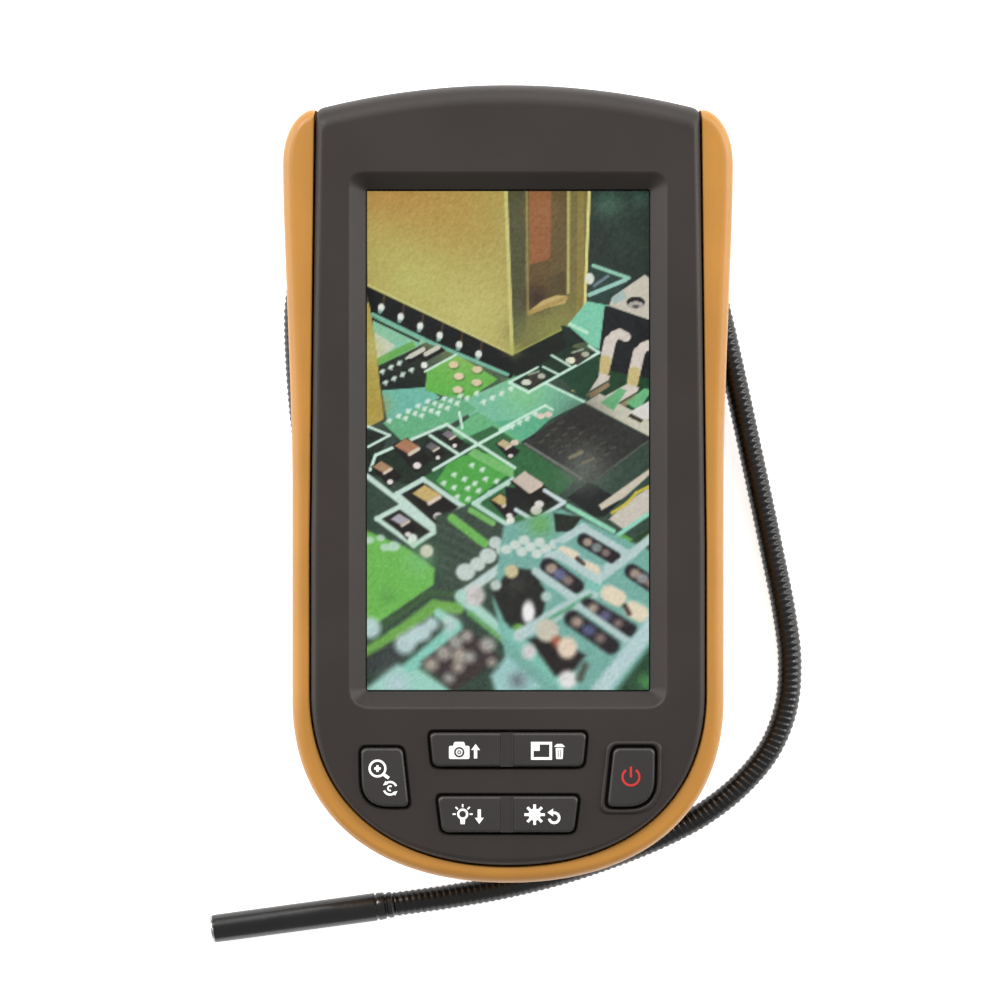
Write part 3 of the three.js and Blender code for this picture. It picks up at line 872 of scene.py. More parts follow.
# The free stretch of the gooseneck, from the winding round to the camera head, in metres
FREE_ROUTE = [
    (0.0367, 0.0474, 0.0056),
    (0.0394, 0.0404, 0.0056),
    (0.0415, 0.0328, 0.0053),
    (0.0434, 0.0248, 0.0048),
    (0.0454, 0.016, 0.004),
    (0.0477, 0.0055, 0.0032),
    (0.05, -0.005, 0.0026),
    (0.0521, -0.015, 0.0025),
    (0.054, -0.0245, 0.0025),
    (0.0552, -0.0345, 0.0025),
    (0.0545, -0.0435, 0.0025),
    (0.0514, -0.0516, 0.0025),
    (0.0458, -0.0586, 0.0025),
    (0.0385, -0.0644, 0.0025),
    (0.0305, -0.0687, 0.0025),
    (0.021, -0.0726, 0.0025),
    (0.0104, -0.0761, 0.0025),
    (-0.001, -0.0789, 0.0025),
    (-0.012, -0.0808, 0.00265),
    (-0.0222, -0.0822, 0.0028),
]


@dataclass
class Gooseneck:
    """The ribbed gooseneck: wound round the hub, then free as far as the camera head."""

    diameter: float = 4.8
    first: float = 3.1
    pitch: float = 5.6
    turns: float = 2.44
    coil_z: float = 5.6
    gland_length: float = 12.0
    rib_pitch: float = 1.22
    rib_depth: float = 0.2
    rings_per_rib: int = 6
    sides: int = 16
    points_per_turn: int = 60
    lead_on: Pair = (0.003, 0.013)

    def route(self) -> Points:
        """Works out the centreline.

        Returns:
            Points in millimetres, evenly spaced closely enough for the ribs.
        """
        start = self.gland_length / HUB.lengths[-1]
        coil = []
        steps = int(self.points_per_turn * (self.turns - start))
        for turns in np.linspace(start, self.turns, steps):
            x, y = HUB.beside(turns, self.first + self.pitch * turns)
            coil.append((x, y, self.coil_z))
        for on in self.lead_on:
            x, y = HUB.beside(self.turns + on, self.first + self.pitch * self.turns)
            coil.append((x, y, self.coil_z))
        coarse = np.concatenate([np.array(coil), np.array(FREE_ROUTE) / MM])
        return self.even(self.catmull_rom(coarse), self.rib_pitch / self.rings_per_rib)

    @staticmethod
    def catmull_rom(points: Points, steps: int = 24) -> Points:
        """Draws a centripetal Catmull-Rom curve through points.

        Args:
            points: The points.
            steps: Samples per stretch.

        Returns:
            The samples.
        """
        padded = np.vstack([2 * points[0] - points[1], points, 2 * points[-1] - points[-2]])
        result = []
        spans = (((0, 1), (1, 2), (2, 3)), ((0, 2), (1, 3)), ((1, 2),))
        for near in zip(padded, padded[1:], padded[2:], padded[3:]):
            gaps = [np.linalg.norm(b - a) ** 0.5 for a, b in zip(near, near[1:])]
            knots = np.cumsum([0.0] + gaps)
            t = np.linspace(knots[1], knots[2], steps, endpoint=False)[:, None]
            level = list(near)
            for row in spans:
                level = [
                    (knots[b] - t) / (knots[b] - knots[a]) * before
                    + (t - knots[a]) / (knots[b] - knots[a]) * after
                    for (a, b), before, after in zip(row, level, level[1:])
                ]
            result.append(level[0])
        return np.vstack(result + [points[-1:]])

    @staticmethod
    def even(points: Points, spacing: float) -> Points:
        """Spaces points evenly along their line.

        Args:
            points: The line.
            spacing: The wanted spacing.

        Returns:
            The new points.
        """
        lengths = np.concatenate([[0], np.cumsum(np.linalg.norm(np.diff(points, axis=0), axis=1))])
        count = int(round(lengths[-1] / spacing)) + 1
        at = np.linspace(0, lengths[-1], count)
        return np.column_stack([np.interp(at, lengths, points[:, k]) for k in range(3)])

    def build(self, head: Sequence[Piece]) -> None:
        """Args:
            head: The pieces of the camera head at its end. Not used.
        """
        centres = self.route()
        along = np.gradient(centres, axis=0)
        along /= np.linalg.norm(along, axis=1)[:, None]
        across = np.cross(along, np.array([0.0, 0.0, 1.0]))
        across /= np.linalg.norm(across, axis=1)[:, None]
        above = np.cross(across, along)
        angles = np.linspace(0, 2 * math.pi, self.sides, endpoint=False)
        rings = []
        for index, centre in enumerate(centres):
            phase = 2 * math.pi * index / self.rings_per_rib + angles
            crest = 0.5 + 0.5 * np.cos(phase)
            radius = self.diameter / 2 - self.rib_depth * (1 - crest)
            sideways = np.outer(radius * np.cos(angles), across[index])
            upwards = np.outer(radius * np.sin(angles), above[index])
            rings.append(centre + sideways + upwards)
        piece = smoothed(loft("gooseneck", rings), 80)
        Finish.SHEATH.dress(piece)
        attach(piece, UNIT)
        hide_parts("probe_coil", "probe_cable")
        path = centres[:: self.rings_per_rib * 2] * MM
        path = np.vstack([path, centres[-1:] * MM])


# ---- housings


@dataclass
class HousingOutline:
    """The dark housing's outline: arched top, nearly straight sides and a round lower end."""

    arch_radius: float = 147.0
    top: float = 76.0
    shoulder: float = 36.5
    side: float = 37.4
    straight_from: float = -12.0
    straight_to: float = -39.7
    bottom: float = -72.5
    curve_down: float = 20.4
    curve_across: float = 23.3
    corner: float = 1.5
    corner_steps: int = 8
    slope_steps: int = 20
    arch_steps: int = 30

    def arch(self, x: float, inset: float = 0.0) -> float:
        """Gives the top wall's height at a distance from the middle.

        Args:
            x: The distance.
            inset: How far inside the outer surface.

        Returns:
            The wall's y.
        """
        radius = self.arch_radius - inset
        return self.top - self.arch_radius + math.sqrt(radius * radius - x * x)

    def half(self, inset: float, top_inset: float) -> Points:
        """Samples the right half, from the lowest point to the corner under the arch.

        Args:
            inset: How far inside the side walls.
            top_inset: How far inside the arched wall.

        Returns:
            The samples, whose last stretch is the arch up to the middle.
        """
        side = self.side - inset
        shoulder = self.shoulder - inset
        low = self.bottom + inset
        turn = self.straight_to
        handles = [(self.curve_across, low), (side, turn - self.curve_down)]
        round_end = bezier([(0, low), *handles, (side, turn)], 44)
        flank = line((side, turn), (side, self.straight_from), 8)
        tip = np.array([shoulder, self.arch(shoulder, top_inset)])
        radius = self.corner
        rise = tip - np.array([side, self.straight_from])
        start = tip - rise / np.linalg.norm(rise) * radius
        end = np.array([shoulder - radius, self.arch(shoulder - radius, top_inset)])
        slope = line((side, self.straight_from), start, self.slope_steps)
        soft = tip * 0.6
        corner = bezier([start, start * 0.4 + soft, end * 0.4 + soft, end], self.corner_steps)
        across = np.linspace(end[0], 0, self.arch_steps, endpoint=False)
        arch = np.column_stack([across, [self.arch(x, top_inset) for x in across]])
        return np.concatenate([round_end, flank, slope, corner, arch])

    def outline(self, inset: float = 0.0, top_inset: float | None = None) -> Points:
        """Samples the whole outline, anticlockwise from its lowest point.

        Args:
            inset: How far inside the side walls.
            top_inset: How far inside the arched wall, if that differs.

        Returns:
            The samples.
        """
        top_inset = inset if top_inset is None else top_inset
        right = self.half(inset, top_inset)
        middle = np.array([[0.0, self.arch(0, top_inset)]])
        left = right[:0:-1] * np.array([-1.0, 1.0])
        return np.concatenate([right, middle, left])

    def top_share(self) -> Points:
        """Gives for each sample how far it belongs to the arched wall, from 0 to 1."""
        right = np.zeros(len(self.half(0, 0)))
        arch = self.arch_steps
        ramp = self.slope_steps + self.corner_steps
        right[-arch:] = 1
        right[-arch - ramp : -arch] = np.linspace(0, 1, ramp) ** 3
        return np.concatenate([right, [1.0], right[:0:-1]])


HOUSING = HousingOutline()


@dataclass
class BumperOutline:
    """The bumper's outer outline, closed straight across behind the housing's shoulders."""

    horn_top: float = 71.2
    horn_inner: float = 37.6
    horn_bulge: float = 42.9
    horn_bulge_at: float = 60.9
    waist: float = 41.1
    waist_from: float = 0.0
    waist_to: float = -41.3
    bottom: float = -76.0
    curve_down: float = 21.6
    curve_across: float = 25.8

    def outline(self, inset: float = 0.0) -> Points:
        """Samples the outline, anticlockwise from its lowest point.

        Args:
            inset: How far inside the outer surface.

        Returns:
            The samples.
        """
        waist = self.waist - inset
        bulge = self.horn_bulge - inset
        low = self.bottom + inset
        tip = self.horn_top - inset
        inner = self.horn_inner - 0.3 * inset
        at = self.horn_bulge_at - 0.3 * inset
        turn = self.waist_to
        handles = [(self.curve_across, low), (waist, turn - self.curve_down)]
        right = np.concatenate(
            [
                bezier([(0, low), *handles, (waist, turn)], 48),
                line((waist, turn), (waist, self.waist_from), 10),
                bezier([(waist, self.waist_from), (waist, 20), (bulge, at - 14), (bulge, at)], 30),
                bezier([(bulge, at), (bulge, at + 6), (inner + 2.6, tip - 0.6), (inner, tip)], 20),
            ]
        )
        tips = np.array([[inner, tip], [-inner, tip]])
        return np.concatenate([right, tips, right[:0:-1] * np.array([-1.0, 1.0])])


@dataclass
class KeyOutline:
    """A key's outline as a polygon with rounded corners."""

    corners: tuple[Triple, ...]

    def outline(self, grow: float = 0.0) -> Points:
        """Samples the outline.

        Args:
            grow: How far outside the key's own wall.

        Returns:
            The samples.
        """
        return rounded(grown(self.corners, grow))


def side_key(sign: int) -> KeyOutline:
    """Gives the outline of the key on one side.

    Args:
        sign: -1 for the zoom key, 1 for the power key.

    Returns:
        The outline.
    """
    corners = [(20.0, -50.1, 1.2), (27.9, -50.1, 1.2), (27.7, -61.3, 5.2), (18.8, -61.3, 1.2)]
    return KeyOutline(tuple((sign * x, y, radius) for x, y, radius in corners))


def rocker_key(top_width: float, low_width: float, y: float, height: float) -> KeyOutline:
    """Gives the outline of a rocker key.

    Args:
        top_width: Its width at the upper edge.
        low_width: Its width at the lower edge.
        y: Its middle.
        height: Its height.

    Returns:
        The outline.
    """
    top, low, half = top_width / 2, low_width / 2, height / 2
    corners = ((-top, y + half, 1.1), (-low, y - half, 1.3), (low, y - half, 1.3), (top, y + half, 1.1))
    return KeyOutline(corners)


KEYS = {
    "zoom_key": side_key(-1),
    "power_key": side_key(1),
    "upper_rocker": rocker_key(29.8, 28.5, -50.45, 6.5),
    "lower_rocker": rocker_key(26.8, 25.0, -62.7, 6.9),
}


@dataclass
class FrontHousing:
    """The dark front shell with its bezel, key slots and the rim round the power key."""

    low: float = 20.15
    face: float = 34.0
    wall: float = 1.9
    face_wall: float = 3.0
    side_round: float = 1.5
    top_round: float = 4.2
    picture: Triple = (54.2, 95.6, 8.25)
    bezel_low: float = 31.2
    bezel_slope: float = 2.75
    bezel_corner: float = 0.7
    bezel_growth: Pair = (2.0, 3.2)
    slot_gap: float = 0.34
    round_steps: int = 8

    def build(self) -> None:
        """Makes the shell."""
        shell = self.shell()
        cut_away(shell, self.cavity())
        cut_away(shell, self.bezel_cutter())
        for name, key in KEYS.items():
            cut_away(shell, self.slot_cutter(name, key))
        smoothed(shell, 34)
        Finish.HOUSING.dress(shell)
        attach(shell, UNIT)
        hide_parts("front_housing")
        self.power_rim()
        LOG.info("front shell: %d faces", len(shell.data.polygons))

    def shell(self) -> Piece:
        """Makes the solid body with a wide rounding at the arch and a small one at the sides.

        Returns:
            The body.
        """
        share = HOUSING.top_share()
        rings = [at_height(HOUSING.outline(), self.low)]
        radius = self.side_round + (self.top_round - self.side_round) * share
        for angle in np.linspace(0, math.pi / 2, self.round_steps + 1):
            inset = 1 - math.cos(angle)
            outline = HOUSING.outline(self.side_round * inset, self.top_round * inset)
            rings.append(at_height(outline, self.face - radius * (1 - math.sin(angle))))
        return loft("front_shell", rings)

    def cavity(self) -> Piece:
        """Makes the inner space.

        Returns:
            The cutter.
        """
        roof = self.face - self.face_wall
        levels = [(self.low - 5, 0.0), (roof - 1.5, 0.0), (roof - 0.5, 0.5), (roof, 1.6)]
        rings = [at_height(HOUSING.outline(self.wall + inset), level) for level, inset in levels]
        return loft("cavity", rings)

    def bezel_cutter(self) -> Piece:
        """Makes the picture opening with its sloping sides.

        Returns:
            The cutter.
        """
        width, height, middle = self.picture
        levels = [(self.low, 0.0, 0.0), (self.bezel_low, 0.0, 0.0), (self.face - 0.3, 1.0, 0.0)]
        levels += [(self.face - 0.08, 1.0, 0.32), (self.face + 0.02, 1.0, 0.7), (self.face + 3, 1.0, 0.8)]
        rings = []
        for level, slope, flare in levels:
            grow = slope * self.bezel_slope + flare
            x, y = width / 2 + grow, height / 2 + grow
            upper, lower = (self.bezel_corner + slope * growth + flare for growth in self.bezel_growth)
            corners = [(x, middle + y, upper), (-x, middle + y, upper)]
            corners += [(-x, middle - y, lower), (x, middle - y, lower)]
            rings.append(at_height(rounded(corners, 10, 2), level))
        return loft("bezel_cutter", rings)

    def slot_cutter(self, name: str, key: KeyOutline) -> Piece:
        """Makes a key's slot, flared at the face.

        Args:
            name: The key's name.
            key: Its outline.

        Returns:
            The cutter.
        """
        levels = [(self.low, 0.0), (self.face - 0.5, 0.0), (self.face - 0.2, 0.06)]
        levels += [(self.face - 0.03, 0.26), (self.face + 0.4, 0.5)]
        rings = [at_height(key.outline(self.slot_gap + grow), level) for level, grow in levels]
        return loft(f"{name}_slot", rings)

    def power_rim(self) -> None:
        """Makes the raised rim round the power key."""
        key = KEYS["power_key"]
        section = [(0.55, -0.3), (0.52, 0.22), (0.62, 0.42), (0.8, 0.52), (1.0, 0.5), (1.2, 0.36)]
        section += [(1.42, 0.06), (1.5, -0.3)]
        rings = [at_height(key.outline(grow), self.face + rise) for grow, rise in section]
        rim = smoothed(loft("power_key_rim", rings, closed=True), 50)
        Finish.HOUSING.dress(rim)
        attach(rim, UNIT)


@dataclass
class Bumper:
    """The amber overmoulded bumper: a U round the sides and the lower end."""

    low: float = 11.0
    middle: float = 24.0
    high: float = 32.4
    outer_round: float = 2.3
    low_round: float = 1.6
    gap: float = 0.3
    edge: float = 0.55

    def build(self) -> None:
        """Makes the bumper."""
        outline = BumperOutline()
        rings = []
        for inset, drop in reversed(round_edge(self.low_round, steps=4)):
            rings.append(at_height(outline.outline(inset), self.low + drop))
        rings.append(at_height(outline.outline(0.0), self.middle))
        for inset, drop in round_edge(self.outer_round, steps=8):
            rings.append(at_height(outline.outline(inset), self.high - drop))
        bumper = loft("amber_bumper", rings)
        levels = [(self.low - 2, 0.0), (self.high - self.edge, 0.0)]
        levels += [(self.high - 0.3 * self.edge, 0.12), (self.high + 0.01, 0.42), (self.high + 1, 0.5)]
        cutter = [at_height(HOUSING.outline(-self.gap - flare), level) for level, flare in levels]
        cut_away(bumper, loft("housing_cutter", cutter))
        smoothed(bumper, 40)
        Finish.AMBER.dress(bumper)
        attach(bumper, UNIT)
        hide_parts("bumper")
        LOG.info("bumper: %d faces", len(bumper.data.polygons))


# ---- keys


@dataclass
class Marks:
    """Thin printed marks on a key's top, gathered into one mesh."""

    level: float
    thickness: float = 0.05
    step: float = 0.0012
    root: float = 0.15
    arc_step: float = 12.0
    vertices: list[Triple] = field(default_factory=list)
    faces: list[list[int]] = field(default_factory=list)

    def patch(self, outline: Rows) -> None:
        """Adds a filled patch.

        Args:
            outline: Its outline.
        """
        first = len(self.vertices)
        count = len(outline)
        rise = self.thickness + self.step * len(self.faces) / (count + 2)
        for level in (self.level - self.root, self.level + rise):
            self.vertices += [(x, y, level) for x, y in outline]
        self.faces.append([first + k for k in range(count)])
        self.faces.append([first + count + k for k in range(count)])
        for k in range(count):
            following = (k + 1) % count
            low, high = first + k, first + following
            self.faces.append([low, high, high + count, low + count])

    def ring(
        self, centre: Pair, radius: float, width: float, start: float = 0.0, end: float = 360.0
    ) -> None:
        """Adds a ring or a part of one.

        Args:
            centre: Its middle.
            radius: The radius of its centreline.
            width: Its width.
            start: Its first angle in degrees.
            end: Its last angle.
        """
        steps = max(3, int(abs(end - start) / self.arc_step))
        angles = np.radians(np.linspace(start, end, steps + 1))
        for a, b in zip(angles, angles[1:]):
            corners = []
            for angle, reach in ((a, -1), (a, 1), (b, 1), (b, -1)):
                r = radius + reach * width / 2
                corners.append((centre[0] + r * math.cos(angle), centre[1] + r * math.sin(angle)))
            self.patch(corners)

    def stroke(self, points: Sequence[Pair], width: float) -> None:
        """Adds straight strokes along a line of points.

        Args:
            points: The points.
            width: The strokes' width.
        """
        for start, end in zip(points, points[1:]):
            along = np.array(end) - np.array(start)
            along = along / np.linalg.norm(along)
            side = np.array([-along[1], along[0]]) * width / 2
            self.patch([start + side, start - side, end - side, end + side])

    def finish(self, name: str, finish: Finish, body: str) -> Piece:
        """Makes the mesh.

        Args:
            name: The piece's name.
            finish: Its finish.
            body: The body it rides on.

        Returns:
            The piece.
        """
        piece = mesh_object(name, np.array(self.vertices), self.faces)
        finish.dress(piece)
        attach(piece, body)
        return piece


@dataclass
class Keys:
    """The two side keys and the two rockers, with their printed marks."""

    top: float = 35.0
    side_low: float = 29.4
    rocker_low: float = 28.8
    flange: float = 0.9
    flange_height: float = 1.1
    edge: float = 0.6
    groove: Pair = (-1.35, 0.95)
    groove_depth: float = 0.45
    wall_top: float = 33.0
    inlay: float = 0.03

    def build(self) -> None:
        """Makes the keys and the marks."""
        for name, key in KEYS.items():
            self.cap(name, key)
        self.camera_marks()
        self.gallery_marks()
        self.lamp_marks()
        self.setup_marks()
        self.zoom_marks()
        self.power_mark()

    def cap(self, name: str, key: KeyOutline) -> None:
        """Makes a key.

        Args:
            name: The CAD node it stands for, which is also its body.
            key: Its outline.
        """
        rocker = name.endswith("rocker")
        low = self.rocker_low if rocker else self.side_low
        above = low + self.flange_height
        levels = [(low, self.flange), (above, self.flange), (above, 0.0), (self.wall_top, 0.0)]
        levels += [(self.top - drop, -inset) for inset, drop in round_edge(self.edge, steps=6)]
        cap = loft(f"{name}_cap", [at_height(key.outline(grow), level) for level, grow in levels])
        if rocker:
            cut_away(cap, self.groove_cutter(key))
        smoothed(cap, 40)
        Finish.KEY.dress(cap)
        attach(cap, name)
        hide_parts(name)
        LOG.info("%s: %d faces", name, len(cap.data.polygons))

    def groove_cutter(self, key: KeyOutline) -> Piece:
        """Makes the shallow groove between a rocker's two ends.

        Args:
            key: The rocker's outline.

        Returns:
            The cutter.
        """
        left, right = self.groove
        low = self.top - self.groove_depth
        profile = [(left - 0.3, self.top + 0.3), (left, low + 0.1), (left + 0.12, low)]
        profile += [(right - 0.12, low), (right, low + 0.1), (right + 0.3, self.top + 0.3)]
        ends = key.outline()[:, 1]
        rings = []
        for y in (ends.min() - 1, ends.max() + 1):
            rings.append(np.array([(x, y, z) for x, z in profile]))
        return loft("groove_cutter", rings)

    def arrow(self, marks: Marks, x: float, y: float, sign: int) -> None:
        """Adds an upright arrow.

        Args:
            marks: The marks it is added to.
            x: Its middle.
            y: Its middle.
            sign: 1 for up, -1 for down.
        """
        marks.stroke([(x, y - sign * 1.35), (x, y + sign * 0.6)], 0.62)
        marks.patch([(x - 0.85, y + sign * 0.25), (x, y + sign * 1.4), (x + 0.85, y + sign * 0.25)])

    def camera_marks(self) -> None:
        """Prints the camera and the up arrow."""
        x, y = -9.25, -50.7
        marks = Marks(self.top)
        corners = [(-1.95, 1.0, 0.35), (-1.95, -1.5, 0.35), (1.95, -1.5, 0.35), (1.95, 1.0, 0.35)]
        marks.patch(rounded([(x + dx, y + dy, r) for dx, dy, r in corners], 4, 2))
        hump = [(-0.95, 1.75, 0.3), (-1.2, 0.8, 0.1), (1.2, 0.8, 0.1), (0.95, 1.75, 0.3)]
        marks.patch(rounded([(x + dx, y + dy, r) for dx, dy, r in hump], 3, 2))
        self.arrow(marks, -6.15, -50.75, 1)
        marks.finish("camera_mark", Finish.MARK_WHITE, "upper_rocker")
        lens = Marks(self.top + self.inlay)
        lens.ring((x, y - 0.2), 0.82, 0.3)
        lens.ring((x, y - 0.2), 0.3, 0.14)
        lens.finish("camera_lens_mark", Finish.KEY, "upper_rocker")

    def gallery_marks(self) -> None:
        """Prints the picture frame and the bin."""
        x, y = 6.35, -50.65
        marks = Marks(self.top)
        left, right, low, high = x - 1.75, x + 1.75, y - 1.45, y + 1.45
        marks.stroke([(left, low), (left, high)], 0.5)
        marks.stroke([(right, low), (right, high)], 0.5)
        marks.stroke([(left - 0.25, high), (right + 0.25, high)], 0.5)
        marks.stroke([(left - 0.25, low), (right + 0.25, low)], 0.5)
        marks.patch([(left, y), (x - 0.35, y), (x - 0.35, high), (left, high)])
        x, y = 9.75, -50.75
        bin_sides = [(-0.72, 0.65, 0.1), (-0.62, -1.45, 0.2), (0.62, -1.45, 0.2), (0.72, 0.65, 0.1)]
        marks.patch(rounded([(x + dx, y + dy, r) for dx, dy, r in bin_sides], 3, 2))
        lid = [(x - 1.05, y + 0.85), (x + 1.05, y + 0.85), (x + 0.5, y + 1.4), (x - 0.5, y + 1.4)]
        marks.patch(lid)
        marks.finish("gallery_mark", Finish.MARK_WHITE, "upper_rocker")
        bars = Marks(self.top + self.inlay)
        for shift in (-0.25, 0.25):
            bars.stroke([(x + shift, y - 1.1), (x + shift, y + 0.3)], 0.14)
        bars.finish("bin_bar_mark", Finish.KEY, "upper_rocker")

    def lamp_marks(self) -> None:
        """Prints the lamp and the down arrow."""
        x, y = -8.6, -62.75
        marks = Marks(self.top)
        marks.ring((x, y + 0.1), 0.85, 0.42)
        marks.patch([(x - 0.5, y - 0.6), (x + 0.5, y - 0.6), (x + 0.4, y - 1.8), (x - 0.4, y - 1.8)])
        for angle in (0, 45, 90, 135, 180):
            dx, dy = math.cos(math.radians(angle)), math.sin(math.radians(angle))
            marks.stroke([(x + 1.3 * dx, y + 0.1 + 1.3 * dy), (x + 1.9 * dx, y + 0.1 + 1.9 * dy)], 0.3)
        self.arrow(marks, -5.45, -63.1, -1)
        marks.finish("lamp_mark", Finish.MARK_WHITE, "lower_rocker")

    def setup_marks(self) -> None:
        """Prints the cog and the return arrow."""
        x, y = 5.05, -62.75
        marks = Marks(self.top)
        marks.patch(arc((x, y), 1.15, 0, 2 * math.pi, 24))
        for step in range(8):
            dx, dy = math.cos(step * math.pi / 4), math.sin(step * math.pi / 4)
            marks.stroke([(x + 0.8 * dx, y + 0.8 * dy), (x + 1.95 * dx, y + 1.95 * dy)], 0.52)
        x, y = 8.75, -63.35
        marks.ring((x, y), 0.95, 0.5, -170, 100)
        marks.patch([(x - 0.2, y + 0.25), (x - 0.2, y + 1.75), (x - 1.3, y + 1.0)])
        marks.finish("setup_mark", Finish.MARK_WHITE, "lower_rocker")

    def zoom_marks(self) -> None:
        """Prints the magnifier and the turn sign."""
        x, y = -24.75, -54.0
        marks = Marks(self.top)
        marks.ring((x, y), 1.5, 0.42)
        marks.stroke([(x - 0.62, y), (x + 0.62, y)], 0.46)
        marks.stroke([(x, y - 0.62), (x, y + 0.62)], 0.46)
        marks.stroke([(x + 1.0, y - 1.0), (x + 2.15, y - 1.85)], 0.6)
        x, y = -22.35, -57.75
        marks.ring((x, y), 1.2, 0.4, 20, 125)
        marks.ring((x, y), 1.2, 0.4, 200, 325)
        marks.ring((x, y), 0.42, 0.32, 50, 290)
        marks.patch([(x - 1.35, y + 0.55), (x - 0.45, y + 0.75), (x - 0.85, y + 1.45)])
        marks.patch([(x + 1.4, y - 0.5), (x + 0.45, y - 0.75), (x + 0.95, y - 1.4)])
        marks.finish("zoom_mark", Finish.MARK_WHITE, "zoom_key")

    def power_mark(self) -> None:
        """Prints the red power sign."""
        x, y = 23.3, -55.6
        marks = Marks(self.top)
        marks.ring((x, y), 1.6, 0.42, 125, 415)
        marks.stroke([(x, y - 0.1), (x, y + 1.95)], 0.42)
        marks.finish("power_mark", Finish.MARK_RED, "power_key")


# ---- probe head


@dataclass
class ProbeHead:
    """The gloss black camera head with its window, lamps and lens."""

    start: Triple = (-22.2, -82.2, 2.8)
    heading: Triple = (-0.9909, -0.1344, 0.0)
    radius: float = 2.75
    bore: float = 2.15
    collar: float = 3.0
    collar_bore: float = 1.2
    sleeve_bore: float = 0.7
    length: float = 32.6
    gap: float = 0.3

    def turned(self, name: str, profile: Sequence[Pair], sides: int = 48) -> Piece:
        """Makes a piece turned about the head's axis.

        Args:
            name: The piece's name.
            profile: Its closed section: radius, and distance along the head.
            sides: How many sides it has.

        Returns:
            The piece.
        """
        along = Vector(self.heading).normalized()
        side = along.cross(Vector((0, 0, 1))).normalized()
        above = side.cross(along)
        start, forward, sideways, upwards = (np.array(v) for v in (self.start, along, side, above))
        points = np.array(profile, float)
        reach, distance = points[:, :1], points[:, 1:]
        rings = []
        for angle in np.linspace(0, 2 * math.pi, sides, endpoint=False):
            x, y = reach * math.cos(angle), reach * math.sin(angle)
            rings.append(start + distance * forward + x * sideways + y * upwards)
        piece = smoothed(loft(name, rings, closed=True), 38)
        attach(piece, UNIT)
        return piece

    def build(self) -> list[Piece]:
        """Makes the head's pieces.

        Returns:
            The pieces, which lie on the cord.
        """
        r = self.radius
        c0, c1 = self.gap, self.gap + self.collar
        s0 = c1 + self.gap
        s1 = s0 + self.length
        collar = self.turned(
            "probe_collar",
            [
                (self.collar_bore, c0 - 0.25), (r - 0.55, c0 - 0.25), (r - 0.5, c0), (r - 0.35, c0),
                (r - 0.2, c0 + 0.15), (r - 0.2, c0 + 0.9), (r - 0.45, c0 + 1.1), (r - 0.45, c0 + 1.35),
                (r - 0.1, c0 + 1.6), (r - 0.02, c1 - 0.3), (r - 0.1, c1), (r - 0.35, c1),
                (r - 0.35, c1 + 0.27), (self.collar_bore, c1 + 0.27),
            ],
        )
        Finish.HEAD.dress(collar)
        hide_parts("head_collar")
        sleeve = self.turned(
            "probe_sleeve",
            [
                (self.sleeve_bore, s0), (r - 0.15, s0), (r, s0 + 0.2), (r, s1 - 0.75), (r - 0.08, s1 - 0.6),
                (self.bore, s1 - 0.6), (self.bore, s0 + 1.5), (self.sleeve_bore, s0 + 1.5),
            ],
        )
        Finish.HEAD.dress(sleeve)
        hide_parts("head_sleeve")
        rim = self.turned(
            "probe_rim",
            [
                (self.bore + 0.02, s1 - 0.55), (r - 0.1, s1 - 0.55), (r - 0.02, s1 - 0.45),
                (r - 0.06, s1 - 0.25), (r - 0.3, s1 - 0.02), (r - 0.42, s1), (self.bore + 0.02, s1 - 0.1),
            ],
        )
        Finish.RIM.dress(rim)
        return [collar, sleeve, rim]


@dataclass
class PortCover:
    """The rubber flap over the sockets at the top end, with a finger lip."""

    node: str = "port_cover"
    half: float = 15.0
    corner: float = 1.6
    edge: float = 0.3
    front: float = 76.0
    back: float = 74.8
    end_drop: float = 0.77
    closing_in: float = 0.03
    lip_half: float = 5.0
    lip_height: float = 1.1
    lip_rise: float = 0.7
    lip_below: float = 0.7
    lip_root: float = 0.4
    sharp: float = 0.05

    def sag(self, x: float) -> float:
        """Gives how far the arched end has fallen back at a place across.

        Args:
            x: The place across.

        Returns:
            The distance, along -Y.
        """
        return self.end_drop * (x / self.half) ** 2

    def section(self, x: float, reach: Pair, levels: Pair) -> Points:
        """Gives one upright section across the flap's thickness.

        Args:
            x: The place across, at the front face.
            reach: The back and the front, measured outwards from the arched front face.
            levels: The lower and the upper end.

        Returns:
            Points in millimetres.
        """
        face = self.front - self.sag(x)
        back, front = face + reach[0], face + reach[1]
        low, high = levels
        ends = [(back, low, self.sharp), (front, low, self.edge)]
        ends += [(front, high, self.edge), (back, high, self.sharp)]
        flat = rounded(ends, 4, 2)
        across = x * (1 - self.closing_in * (face - flat[:, 0]))
        return np.column_stack([across, flat[:, 0], flat[:, 1]])

    def corner_drop(self, x: float) -> float:
        """Gives how far the rounded upper corner lies below the upper edge at a place across."""
        past = max(0.0, abs(x) - (self.half - self.corner))
        return self.corner - math.sqrt(self.corner**2 - past**2)

    def build(self) -> None:
        """Makes the flap and its finger lip."""
        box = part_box(self.node)
        low, high = box[0][2] / MM, box[1][2] / MM
        thick = self.front - self.back
        ends = self.half * np.sin(np.linspace(-math.pi / 2, math.pi / 2, 33))
        rings = [self.section(x, (-thick, 0.0), (low, high - self.corner_drop(x))) for x in ends]
        flap = smoothed(loft("port_flap", rings), 40)
        Finish.RUBBER.dress(flap)
        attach(flap, self.node)
        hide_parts(self.node)
        top = high - self.lip_below
        levels = (top - self.lip_height, top)
        reach = (-self.lip_root, self.lip_rise)
        places = np.linspace(-self.lip_half, self.lip_half, 9)
        lip = smoothed(loft("port_flap_lip", [self.section(x, reach, levels) for x in places]), 40)
        Finish.RUBBER.dress(lip)
        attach(lip, self.node)


# ---- screen


